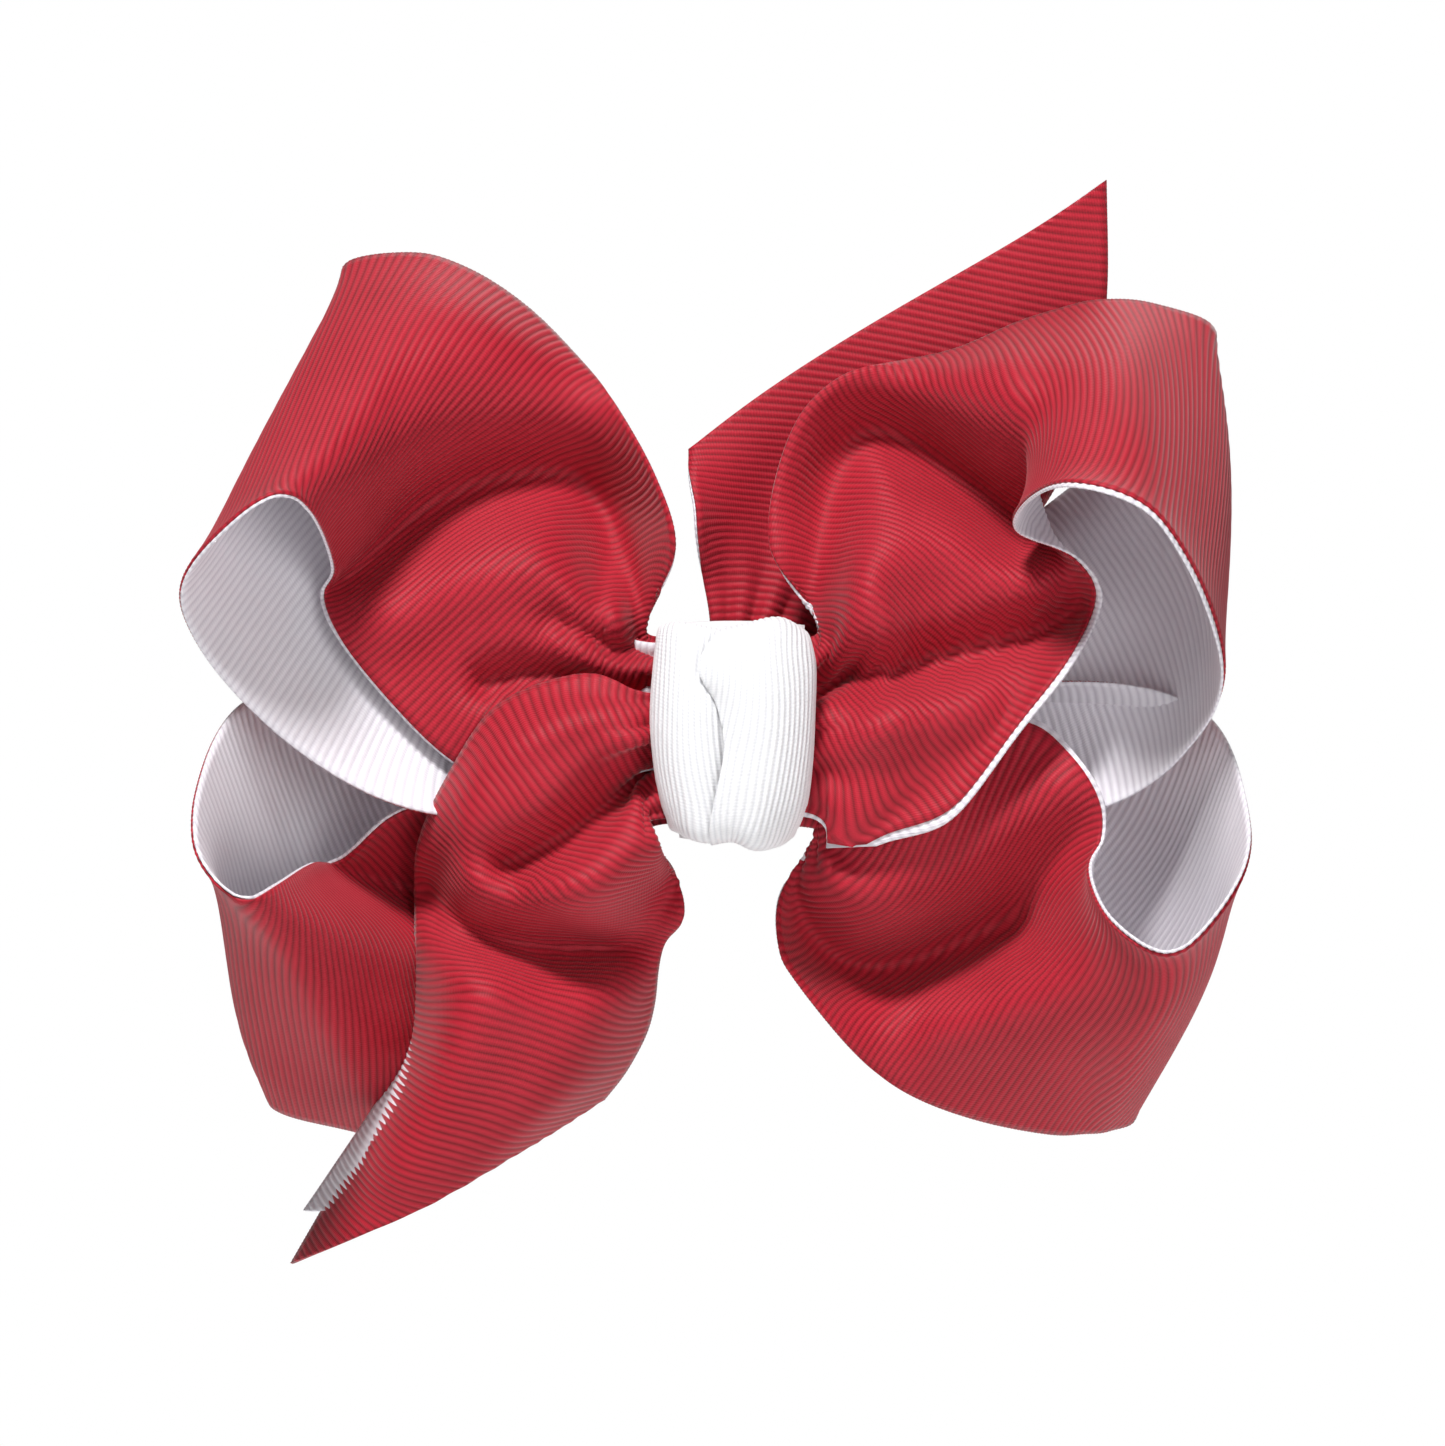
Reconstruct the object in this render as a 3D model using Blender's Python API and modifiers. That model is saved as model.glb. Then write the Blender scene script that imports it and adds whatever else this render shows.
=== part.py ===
"""Cheer hair bow: four ribbon loops and two tails of doubled grosgrain, tied with a knot, on a pinch clip.

Metres, +Z up. The bow faces -Y and +X is its right as seen from the front. The origin is on the clip's back
face, which lies against the hair, straight behind the middle of the knot. Places are listed in millimetres
as (x, z, depth), where depth is the distance in front of that back face, so y = -depth.
"""

import math

import bmesh
import bpy
import numpy as np
from mathutils import Matrix, Vector

MM = 0.001

# Ribbon. Each loop and tail is two grosgrain ribbons laid back to back.
RIBBON_WIDTH = 57.15
RIBBON_THICK = 0.45
LAYER_GAP = 0.3
GRID_ACROSS = 6
LOOP_GRID_ALONG = 26
TAIL_GRID_ALONG = 12
PLEAT_DEPTH = 0.45
PLEAT_WAVES = 3
PLEAT_REACH = 20.5

# Knot: a band round the gathered ribbons and the tied lump in front of it.
KNOT_WIDTH = 20.5
KNOT_HEIGHT = 29.8
BAND_BACK, BAND_FRONT = 14.3, 33.4
BAND_THICK = 0.8
BAND_WIDTH = 19.2
BAND_SIDES = 28
BAND_SQUARENESS = 4.0
LUMP_THICK = 6.0
LUMP_SEGMENTS, LUMP_RINGS = 22, 11
LUMP_POWER_X, LUMP_POWER_Z = 0.8, 0.75
LUMP_TAPER = 0.09
GAP = 0.3
THREAD_RADIUS = 0.4
THREAD_STEPS = 24
THREAD_SQUARENESS = 3.2

# Pinch clip, along X, with its hinge pin along Z.
SHEET = 0.8
CLIP_NOSE, CLIP_TAIL = -29.0, 30.0
NOSE_LENGTH = 10.0
UPPER_DEPTH = 9.0
UPPER_HALF_WIDTH, LOWER_HALF_WIDTH = 4.75, 3.4
HINGE_X, HINGE_DEPTH = 19.0, 5.0
EAR_RADIUS = 2.8
EAR_WEB_HALF = 2.5
PIN_RADIUS = 0.8
PIN_HOLE_RADIUS = PIN_RADIUS + GAP
PIN_HEAD_RADIUS, PIN_HEAD_THICK = 1.7, 0.6
ROUND_SIDES = 16
CUT_MARGIN = 1.0
SPRING_RADIUS, SPRING_WIRE, SPRING_PITCH, SPRING_TURNS = 2.0, 0.35, 0.95, 3.5
SPRING_STEPS_PER_TURN = 10
SPRING_ARM_INSET = 3.0
LINING_THICK = 0.5
LINING_INSET = 1.0
GLUE_HALF_X, GLUE_HALF_Z, GLUE_FRONT = 9.0, 5.0, 12.2
GLUE_ROUNDING = 0.3

# Guide lines of each ribbon, from the knot, round the loop and back to the knot. "selvedge_a" is the edge
# at the loop's open mouth, "selvedge_b" the edge on its far side, and the folds lie a third of the way in.
# They are drawn for a ribbon GUIDE_RIBBON_WIDTH wide, and ribbon_grid scales them to RIBBON_WIDTH about the
# point where the back tail passes behind the knot.
GUIDE_RIBBON_WIDTH = 61.4
BACK_TAIL_DEPTH = 13.4

# At its open mouth each loop swells forward from its guides, so that the ribbon there is nearly as wide as
# where it lies flat: by how much at most, at which station of the guides, and over how many on either side.
MOUTH_SWELL = {
    "loop_upper_left": (10, 9.2, 3.8),
    "loop_lower_left": (22, 8.8, 3.8),
    "loop_upper_right": (18, 11.0, 2.8),
    "loop_lower_right": (11, 10.8, 2.8),
}
# The share of the swell that each guide line takes, from selvedge_a to selvedge_b.
SWELL_SHARES = (1, 0.55, 0.12, 0)

RIBBON_GUIDES = {
    "loop_upper_left": {
        "selvedge_a": [
            (-2, -6, 28), (-12, -5, 27.5), (-25, -9, 26), (-39.5, -5, 24.5), (-48.5, 4.5, 23.5),
            (-55.5, 13.5, 22), (-58, 20, 23), (-56.5, 24.5, 31), (-63, 34.5, 42), (-78, 22.5, 35),
            (-76, 12, 26), (-62, -2.5, 21), (-43.5, -11.5, 20), (-24, -10, 22), (-12, -5, 24.5),
            (-2, -5, 24.5),
        ],
        "fold_a": [
            (-2, 1, 28), (-12, 2, 28), (-20.5, 4, 27), (-30.5, 13, 27.5), (-37.5, 20.5, 24),
            (-43.5, 25.5, 20), (-48.5, 29, 22), (-51, 33, 31), (-55, 42, 36), (-70.5, 37.5, 27),
            (-67, 25, 17), (-52, 12, 15), (-36, 0, 17.5), (-21, -1, 20), (-12, 1, 24), (-2, 1, 24.5),
        ],
        "fold_b": [
            (-2, 8, 28), (-12, 9, 29), (-17.5, 14.5, 28), (-19, 30.5, 21), (-24.5, 39.5, 20),
            (-30.5, 47.5, 22), (-36, 53.5, 24), (-42, 57.5, 25), (-48.5, 59.5, 23), (-61.5, 55.5, 16),
            (-58, 41, 9), (-44, 27, 9), (-30, 13, 14.5), (-18, 7, 18.5), (-12, 7, 24), (-2, 7, 24.5),
        ],
        "selvedge_b": [
            (-2, 14, 28), (-12.5, 14.5, 28), (-8.5, 25, 28.5), (-11, 35.5, 25), (-16, 44.5, 21.5),
            (-22.5, 53, 18), (-29.5, 60.5, 14.5), (-37.5, 66, 12), (-45.5, 68.5, 10), (-56, 66, 7),
            (-50, 56, 4.5), (-37, 42, 5), (-25, 27, 9), (-16, 16, 17), (-12.5, 13, 23.5), (-2, 13, 24.5),
        ],
    },
    "loop_lower_left": {
        "selvedge_a": [
            (-2, 2, 21), (-12, 1, 21), (-19, -4, 20), (-33, -8, 17.5), (-47.5, -11.5, 15.5),
            (-55.5, -19, 16), (-59.5, -19.5, 25), (-64, -22.5, 33), (-69.5, -24.5, 36),
            (-76.5, -17, 31), (-76, -8, 22), (-70.5, 4, 12), (-57, 7, 8.5), (-36, 5, 11.5),
            (-20, 3, 16), (-12, 2, 17.5), (-2, 2, 17.5),
        ],
        "fold_a": [
            (-2, -3, 21), (-12, -4, 21), (-20, -12, 20), (-32, -18, 18), (-42, -23, 15),
            (-47, -26, 15), (-51, -29, 21), (-56, -33, 27), (-62, -35, 29), (-73.5, -28, 24),
            (-70, -18, 15), (-62, -9, 8), (-51, -5, 6.5), (-33, -3, 13), (-20, -2, 16),
            (-12, -3, 17.5), (-2, -3, 17.5),
        ],
        "fold_b": [
            (-2, -8, 21), (-12, -9, 21), (-17, -20, 20), (-24, -31, 16), (-32, -38, 13),
            (-40, -42, 14), (-46, -44, 18), (-52, -46, 20), (-58, -46, 19), (-70, -40, 15),
            (-65, -31, 8), (-55, -23, 4), (-43, -17, 5), (-28, -12, 11), (-18, -8, 15),
            (-12, -8, 17.5), (-2, -8, 17.5),
        ],
        "selvedge_b": [
            (-2, -13, 21), (-12.5, -14, 21), (-12, -24, 20), (-15, -38, 15), (-22, -48, 12),
            (-31, -54, 10), (-40, -57.5, 8.5), (-47, -58, 8), (-53, -57, 7.5), (-66, -52.5, 6),
            (-59, -46, 3), (-48, -38, 2), (-37, -29, 3.5), (-24, -20, 9), (-16, -14, 14),
            (-12.5, -13, 17.5), (-2, -13, 17.5),
        ],
    },
    "loop_upper_right": {
        "selvedge_a": [
            (2, -11, 30.5), (12.5, -12.5, 30.5), (13.5, -19, 31), (21.5, -14.5, 32), (31.5, -11.5, 32),
            (40.5, 1, 30.5), (48, 10, 28), (52.5, 19.5, 23.5), (48, 26, 22), (39.5, 30, 31.5), (46, 36, 43),
            (60, 31, 43), (69.5, 9, 31), (64, -2.5, 23), (52.5, -10.5, 19.5), (35.5, -12.5, 18.5),
            (21, -9.5, 19.5), (12, -5, 21), (2, -5, 21),
        ],
        "fold_a": [
            (2, -3.5, 30.5), (12, -4, 31.5), (21, -5.5, 33), (30.5, 2, 32.5), (38, 12, 30),
            (42.5, 18, 27.5), (45, 22.5, 24.5), (45.5, 28, 22.5), (43.5, 33, 25), (42.5, 37.5, 31),
            (47.5, 42.5, 36.5), (58, 43, 36), (71, 26, 24), (64, 13, 17), (51, 5, 16.5), (33, -1, 17.5),
            (20, -2, 19), (12, 0, 21), (2, 0, 21),
        ],
        "fold_b": [
            (2, 4, 30.5), (12, 6, 30.5), (19.5, 16, 31), (22, 26, 28), (24.5, 34, 23), (27, 40, 21),
            (30.5, 44, 24), (35, 47, 27), (39, 49, 29), (44, 51, 30), (51, 53, 30), (59, 53, 27),
            (71, 42, 17), (63, 30, 12), (48.5, 19, 13), (31, 9, 16.5), (19, 5, 18.5), (12, 5, 21),
            (2, 5, 21),
        ],
        "selvedge_b": [
            (2, 12, 30.5), (12.5, 14.5, 30.5), (6, 25, 29.5), (6.5, 36, 27.5), (10, 46.5, 24.5),
            (17, 51, 22), (24.5, 52.5, 20.5), (32.5, 54.5, 19), (40, 58, 17.5), (46, 60, 16),
            (52, 61.5, 14.5), (60, 61, 13), (69, 56.5, 11), (61, 45.5, 9.5), (46, 33, 10.5),
            (28.5, 20, 14), (18, 12, 17), (12, 10, 20.5), (2, 10, 21),
        ],
    },
    "loop_lower_right": {
        "selvedge_a": [
            (2, 6, 26), (12, 4, 26), (21, 1, 26), (32.5, 2.5, 26), (43, 2.5, 25.5), (48.5, -3.5, 25),
            (52.5, -10.5, 24), (52.5, -16, 24), (50, -20.5, 31), (54, -28, 40), (62.5, -32.5, 46),
            (73, -19, 41), (72.5, -8, 31), (67.5, 2.5, 20), (54, 7, 13), (30, 6, 13.5), (20, 4, 15.5),
            (12, 2, 17.5), (2, 2, 17.5),
        ],
        "fold_a": [
            (2, -0.5, 26), (12, -2.5, 26.5), (17, -11, 27), (25, -13.5, 28.5), (34, -14, 27),
            (41, -16.5, 23), (45, -20, 21), (47, -24, 24), (49.5, -29.5, 31), (53.5, -35, 36),
            (60.5, -40, 37), (69, -32, 28), (66, -20, 18), (59, -9, 12.5), (46, -2, 12), (27, -1, 13.5),
            (19, -1.5, 15.5), (12, -2, 17.5), (2, -2, 17.5),
        ],
        "fold_b": [
            (2, -7, 26), (12, -9, 26), (12, -20, 26), (17, -29, 21.5), (24, -33, 18.5), (31, -34.5, 20),
            (37, -37, 23), (42, -39.5, 25), (46, -42, 27), (51, -45, 27), (57, -48, 24), (63, -43, 16),
            (58, -32, 10), (50, -20, 8), (39, -12, 10.5), (24, -7, 13), (17, -6.5, 15), (12, -6.5, 17.5),
            (2, -6.5, 17.5),
        ],
        "selvedge_b": [
            (2, -13, 26), (12.5, -14, 26), (6.5, -22.5, 26.5), (6.5, -31, 26), (9.5, -36, 24),
            (17, -44, 20.5), (26, -51, 17), (35.5, -55, 14), (45, -57, 11.5), (50, -57, 10),
            (54, -56.5, 8), (57.5, -54, 5.5), (51, -44, 3), (42, -31, 4), (32, -21, 8), (21, -13, 12.5),
            (16, -11.5, 14.5), (12.5, -11, 17.5), (2, -11, 17.5),
        ],
    },
    "tail_front": {
        "selvedge_a": [
            (-2, 7, 31.5), (-12, 5.5, 32), (-20.5, 8.5, 32), (-33.5, 4.5, 31), (-40.5, -6, 28),
            (-45.5, -18, 25), (-45, -28, 24), (-45, -38, 23), (-47, -48, 21), (-54.5, -61.5, 19),
            (-62.5, -75.5, 16),
        ],
        "fold_a": [
            (-2, 0.5, 31.5), (-12, -1, 32.5), (-20.5, -4, 34), (-27.5, -9.5, 35), (-37.5, -16.5, 32),
            (-37.5, -24, 27), (-36, -31, 30), (-36, -39.5, 31), (-37.5, -50.5, 30), (-42, -59, 27),
            (-47.5, -67.5, 24),
        ],
        "fold_b": [
            (-2, -6, 31.5), (-12, -8, 32.5), (-13.5, -14, 33), (-19, -21, 33), (-22, -26.5, 30),
            (-20.5, -30.5, 27), (-20.5, -36, 31), (-22, -42.5, 31), (-24.5, -50.5, 29),
            (-28.5, -55.5, 27.5), (-33.5, -60.5, 24),
        ],
        "selvedge_b": [
            (-2, -12, 31.5), (-12.5, -13, 31), (-8.5, -20, 30), (-7.5, -26, 28), (-10, -29.5, 26),
            (-11, -33, 23), (-11.5, -38, 20), (-12.5, -42.5, 17), (-14.5, -46.5, 15),
            (-16.5, -49.5, 14.5), (-19, -52.5, 14),
        ],
    },
    "tail_back": {
        "selvedge_a": [
            (-3, -9, 13.4), (-3, 2, 13.4), (-3, 16, 13.2), (-4.5, 29, 12), (-5.5, 36, 11.5),
            (-6, 38.5, 11.4), (-6, 40.5, 11.3),
        ],
        "fold_a": [
            (0, -9, 13.4), (1, 1, 13.4), (4, 14, 13), (9, 27, 11), (13, 39, 9), (13.5, 47, 8.5),
            (13.5, 53.5, 8),
        ],
        "fold_b": [
            (4, -9, 13.4), (6, 0, 13.4), (12, 12, 12.5), (22, 25, 9.5), (32, 42, 7), (33, 55, 6.5),
            (33, 66.5, 6),
        ],
        "selvedge_b": [
            (8, -9, 13.4), (11, -2, 13.4), (20, 8, 12), (36, 22, 8), (52, 46, 5.5), (53.5, 62, 5),
            (52.5, 79.5, 5.5),
        ],
    },
}


def clear_scene():
    for obj in list(bpy.data.objects):
        bpy.data.objects.remove(obj, do_unlink=True)
    for collection in list(bpy.data.collections):
        bpy.data.collections.remove(collection)


def collection_named(name, hidden=False):
    collection = bpy.data.collections.new(name)
    bpy.context.scene.collection.children.link(collection)
    collection.hide_render = hidden
    return collection


def material(name, colour, roughness, metallic=0.0):
    made = bpy.data.materials.new(name)
    made.use_nodes = True
    shader = made.node_tree.nodes["Principled BSDF"]
    shader.inputs["Base Color"].default_value = (*colour, 1.0)
    shader.inputs["Roughness"].default_value = roughness
    shader.inputs["Metallic"].default_value = metallic
    return made


def place(x, z, depth):
    """World coordinates in metres of a point given as x, z and depth in millimetres."""
    return (x * MM, -depth * MM, z * MM)


def catmull_rom(points, segments):
    """A smooth curve through the points, sampled at segments + 1 even steps of its parameter."""
    points = np.asarray(points, float)
    padded = np.concatenate([2 * points[:1] - points[1:2], points, 2 * points[-1:] - points[-2:-1]])
    at = np.linspace(0, len(points) - 1, segments + 1)
    span = np.minimum(at.astype(int), len(points) - 2)
    t = (at - span).reshape((-1,) + (1,) * (points.ndim - 1))
    before, start, end, after = (padded[span + k] for k in range(4))
    return 0.5 * (
        2 * start
        + (end - before) * t
        + (2 * before - 5 * start + 4 * end - after) * t**2
        + (3 * start - before - 3 * end + after) * t**3
    )


def mouth_swell(name, stations):
    """How far forward each station of a ribbon's four guide lines moves: [station, line]."""
    if name not in MOUTH_SWELL:
        return np.zeros((stations, len(SWELL_SHARES)))
    most, centre, reach = MOUTH_SWELL[name]
    away = np.clip((np.arange(stations) - centre) / reach, -1, 1)
    return np.outer(most * np.cos(away * math.pi / 2) ** 2, SWELL_SHARES)


def ribbon_grid(name, guides, along):
    """Points of the ribbon's middle surface in millimetres: [step along, step across, (x, z, depth)]."""
    lines = [guides[line] for line in ("selvedge_a", "fold_a", "fold_b", "selvedge_b")]
    behind_knot = np.array((0, 0, BACK_TAIL_DEPTH))
    scale = RIBBON_WIDTH / GUIDE_RIBBON_WIDTH
    stations = behind_knot + (np.array(lines, float).transpose(1, 0, 2) - behind_knot) * scale
    stations[:, :, 2] += mouth_swell(name, len(stations))
    grid = catmull_rom(stations, along)
    grid = catmull_rom(grid.transpose(1, 0, 2), GRID_ACROSS).transpose(1, 0, 2)
    from_knot = np.hypot(grid[:, :, 0], grid[:, :, 1])
    fade = np.clip(1 - from_knot / PLEAT_REACH, 0, 1)
    wave = np.sin(2 * math.pi * PLEAT_WAVES * np.linspace(0, 1, GRID_ACROSS + 1))
    grid[:, :, 2] += PLEAT_DEPTH * fade * wave
    return grid


def mesh_object(name, vertices, faces, collection, mat):
    mesh = bpy.data.meshes.new(name)
    mesh.from_pydata([place(*point) for point in vertices], [], faces)
    obj = bpy.data.objects.new(name, mesh)
    collection.objects.link(obj)
    mesh.materials.append(mat)
    mesh.shade_smooth()
    return obj


def object_of(cage, name, collection, mat=None):
    """A new object of a bmesh, which is freed."""
    mesh = bpy.data.meshes.new(name)
    cage.to_mesh(mesh)
    cage.free()
    if mat:
        mesh.materials.append(mat)
    obj = bpy.data.objects.new(name, mesh)
    collection.objects.link(obj)
    return obj


def ribbon_layer(name, grid, outer, collection, mat):
    """One ribbon of a doubled pair, thickened to the outer or the inner side of the middle surface."""
    rows, columns = grid.shape[:2]
    faces = []
    for i in range(rows - 1):
        for j in range(columns - 1):
            corner = i * columns + j
            faces.append((corner, corner + 1, corner + columns + 1, corner + columns))
    obj = mesh_object(name, grid.reshape(-1, 3), faces, collection, mat)
    near_knot = obj.data.polygons[: len(faces) // 4]
    if sum(face.normal.y * face.area for face in near_knot) > 0:
        obj.data.flip_normals()
    shell = obj.modifiers.new("thickness", "SOLIDIFY")
    shell.thickness = RIBBON_THICK * MM
    side = 1 if outer else -1
    shell.offset = side * (1 + LAYER_GAP / RIBBON_THICK)


def ribbons(collection, red, white):
    for name, guides in RIBBON_GUIDES.items():
        along = LOOP_GRID_ALONG if name.startswith("loop") else TAIL_GRID_ALONG
        grid = ribbon_grid(name, guides, along)
        ribbon_layer(name + "_red", grid, True, collection, red)
        ribbon_layer(name + "_white", grid, False, collection, white)


def superellipse(angle, half_z, half_depth, power):
    """(z, depth) at an angle round a rounded rectangle; a power of 2 is an ellipse, more is squarer."""
    c, s = math.cos(angle), math.sin(angle)
    return (
        half_z * math.copysign(abs(s) ** (2 / power), s),
        half_depth * math.copysign(abs(c) ** (2 / power), c),
    )


def knot_band(collection, mat):
    """The ribbon that goes round the gathered bundle: an open tube along X, thickened inwards."""
    middle, half_depth = (BAND_BACK + BAND_FRONT) / 2, (BAND_FRONT - BAND_BACK) / 2
    cage = bmesh.new()
    bmesh.ops.create_cone(cage, cap_ends=False, segments=BAND_SIDES, radius1=1, radius2=1, depth=1)
    for vertex in cage.verts:
        angle = math.atan2(vertex.co.y, vertex.co.x)
        z, depth = superellipse(angle, KNOT_HEIGHT / 2, half_depth, BAND_SQUARENESS)
        vertex.co = place(math.copysign(BAND_WIDTH / 2, vertex.co.z), z, middle + depth)
    obj = object_of(cage, "knot_band", collection, mat)
    recalculate_normals(obj)
    obj.data.shade_smooth()
    shell = obj.modifiers.new("thickness", "SOLIDIFY")
    shell.thickness = BAND_THICK * MM
    shell.offset = -1


def recalculate_normals(obj):
    cage = bmesh.new()
    cage.from_mesh(obj.data)
    bmesh.ops.recalc_face_normals(cage, faces=cage.faces)
    if sum(face.normal.z for face in cage.faces if face.calc_center_median().z > 0) < 0:
        bmesh.ops.reverse_faces(cage, faces=cage.faces)
    cage.to_mesh(obj.data)
    cage.free()


def knot_lump(collection, mat):
    """The tied front of the knot: a soft cushion, a little narrower at its foot."""
    cage = bmesh.new()
    bmesh.ops.create_uvsphere(cage, u_segments=LUMP_SEGMENTS, v_segments=LUMP_RINGS, radius=1.0)
    middle = BAND_FRONT + GAP + LUMP_THICK / 2
    for vertex in cage.verts:
        x, y, z = vertex.co
        flat_z = math.copysign(abs(z) ** LUMP_POWER_Z, z)
        taper = 1 + LUMP_TAPER * flat_z
        vertex.co = place(
            KNOT_WIDTH / 2 * taper * math.copysign(abs(x) ** LUMP_POWER_X, x),
            KNOT_HEIGHT / 2 * flat_z,
            middle - LUMP_THICK / 2 * y,
        )
    obj = object_of(cage, "knot_tie", collection, mat)
    recalculate_normals(obj)
    obj.data.shade_smooth()


def wire(name, points, radius, collection, mat, cyclic=False):
    """A wire through the points, in millimetres, as a poly curve with a round bevel."""
    curve = bpy.data.curves.new(name, "CURVE")
    curve.dimensions = "3D"
    curve.bevel_depth = radius * MM
    curve.bevel_resolution = 2
    curve.use_fill_caps = not cyclic
    spline = curve.splines.new("POLY")
    spline.points.add(len(points) - 1)
    for target, point in zip(spline.points, points):
        target.co = (*place(*point), 1.0)
    spline.use_cyclic_u = cyclic
    obj = bpy.data.objects.new(name, curve)
    collection.objects.link(obj)
    curve.materials.append(mat)


def gather_thread(collection, mat):
    """The thread wound round the pleats, just inside the knot's band."""
    middle = (BAND_BACK + BAND_FRONT) / 2
    half_depth = (BAND_FRONT - BAND_BACK) / 2 - BAND_THICK - 2 * THREAD_RADIUS
    half_z = KNOT_HEIGHT / 2 - BAND_THICK - 2 * THREAD_RADIUS
    points = []
    for k in range(THREAD_STEPS):
        angle = 2 * math.pi * k / THREAD_STEPS
        z, depth = superellipse(angle, half_z, half_depth, THREAD_SQUARENESS)
        points.append((0, z, middle + depth))
    wire("gather_thread", points, THREAD_RADIUS, collection, mat, cyclic=True)


def box(name, low, high, collection, mat=None, bevel=0.0):
    """A box between two corners given as (x, z, depth) in millimetres."""
    cage = bmesh.new()
    bmesh.ops.create_cube(cage, size=1.0)
    a, b = place(*low), place(*high)
    for vertex in cage.verts:
        vertex.co = [(p + q) / 2 + c * abs(q - p) for p, q, c in zip(a, b, vertex.co)]
    obj = object_of(cage, name, collection, mat)
    if bevel:
        rounding = obj.modifiers.new("rounding", "BEVEL")
        rounding.width = bevel * MM
        rounding.segments = 2
    return obj


def hinge_cylinder(name, low_z, high_z, radius, collection, mat=None):
    """A cylinder on the hinge axis between two heights, in millimetres."""
    cage = bmesh.new()
    bmesh.ops.create_cone(
        cage, cap_ends=True, segments=ROUND_SIDES, radius1=radius * MM, radius2=radius * MM,
        depth=(high_z - low_z) * MM,
    )
    obj = object_of(cage, name, collection, mat)
    obj.location = place(HINGE_X, (low_z + high_z) / 2, HINGE_DEPTH)
    return obj


def combine(obj, other, operation):
    other.hide_render = True
    other.display_type = "WIRE"
    change = obj.modifiers.new(operation.lower() + "_" + other.name, "BOOLEAN")
    change.operation = operation
    change.object = other


def sheet_strip(name, outline, half_width, collection, mat):
    """A bent metal strip: an outline of (x, depth) points, extruded to both sides along Z."""
    curve = bpy.data.curves.new(name + "_outline", "CURVE")
    curve.dimensions = "2D"
    curve.fill_mode = "BOTH"
    curve.extrude = half_width * MM
    spline = curve.splines.new("POLY")
    spline.points.add(len(outline) - 1)
    for target, (x, depth) in zip(spline.points, outline):
        target.co = (x * MM, -depth * MM, 0.0, 1.0)
    spline.use_cyclic_u = True
    source = bpy.data.objects.new(name + "_outline", curve)
    collection.objects.link(source)
    graph = bpy.context.evaluated_depsgraph_get()
    mesh = bpy.data.meshes.new_from_object(source.evaluated_get(graph))
    bpy.data.objects.remove(source, do_unlink=True)
    cage = bmesh.new()
    cage.from_mesh(mesh)
    bmesh.ops.remove_doubles(cage, verts=cage.verts, dist=1e-6)
    bmesh.ops.recalc_face_normals(cage, faces=cage.faces)
    cage.to_mesh(mesh)
    cage.free()
    mesh.materials.clear()
    mesh.materials.append(mat)
    obj = bpy.data.objects.new(name, mesh)
    collection.objects.link(obj)
    return obj


def add_ears(jaw, outer_z, web_low, web_high, cutters):
    """Two ears with a round end on the hinge axis, joined to the jaw, and a hole for the pin."""
    for side in (-1, 1):
        near, far = sorted((side * (outer_z - SHEET), side * outer_z))
        tag = f"{jaw.name}_ear_{'low' if side < 0 else 'high'}"
        web = box(
            tag + "_web",
            (HINGE_X - EAR_WEB_HALF, near, web_low),
            (HINGE_X + EAR_WEB_HALF, far, web_high),
            cutters,
        )
        disc = hinge_cylinder(tag + "_disc", near, far, EAR_RADIUS, cutters)
        combine(jaw, web, "UNION")
        combine(jaw, disc, "UNION")
    reach = outer_z + CUT_MARGIN
    hole = hinge_cylinder(jaw.name + "_pin_hole", -reach, reach, PIN_HOLE_RADIUS, cutters)
    combine(jaw, hole, "DIFFERENCE")


def clip_upper_jaw(collection, cutters, steel):
    """The jaw on the bow's side: a flat plate with ears for the pin."""
    front = UPPER_DEPTH + SHEET
    plate = [(CLIP_NOSE, UPPER_DEPTH), (CLIP_TAIL, UPPER_DEPTH), (CLIP_TAIL, front), (CLIP_NOSE, front)]
    jaw = sheet_strip("clip_upper_jaw", plate, UPPER_HALF_WIDTH, collection, steel)
    add_ears(jaw, UPPER_HALF_WIDTH, HINGE_DEPTH, UPPER_DEPTH + SHEET / 2, cutters)


def clip_lower_jaw(collection, cutters, steel):
    """The jaw on the hair's side, which swings: flat, with a nose that slopes up to meet the upper jaw."""
    bend_x = CLIP_NOSE + NOSE_LENGTH
    nose_depth = UPPER_DEPTH - GAP
    slope = math.atan2(nose_depth - SHEET, NOSE_LENGTH)
    outline = [
        (CLIP_TAIL, 0),
        (bend_x, 0),
        (CLIP_NOSE, nose_depth - SHEET * math.cos(slope)),
        (CLIP_NOSE + SHEET * math.sin(slope), nose_depth),
        (bend_x + SHEET * math.tan(slope / 2), SHEET),
        (CLIP_TAIL, SHEET),
    ]
    jaw = sheet_strip("clip_lower_jaw", outline, LOWER_HALF_WIDTH, collection, steel)
    add_ears(jaw, LOWER_HALF_WIDTH, SHEET / 2, HINGE_DEPTH, cutters)
    set_origin(jaw, place(HINGE_X, 0, HINGE_DEPTH))


def set_origin(obj, point):
    """Puts the object's origin at a point in metres and leaves its shape where it is."""
    obj.data.transform(Matrix.Translation(-Vector(point)))
    obj.location = point


def clip_pin(collection, cutters, steel):
    """The hinge pin, with a head outside each ear."""
    reach = UPPER_HALF_WIDTH + GAP + PIN_HEAD_THICK
    pin = hinge_cylinder("clip_pin", -reach, reach, PIN_RADIUS, collection, steel)
    for side in (-1, 1):
        near, far = sorted((side * (reach - PIN_HEAD_THICK), side * reach))
        tag = f"pin_head_{'low' if side < 0 else 'high'}"
        head = hinge_cylinder(tag, near, far, PIN_HEAD_RADIUS, cutters)
        combine(pin, head, "UNION")


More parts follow.
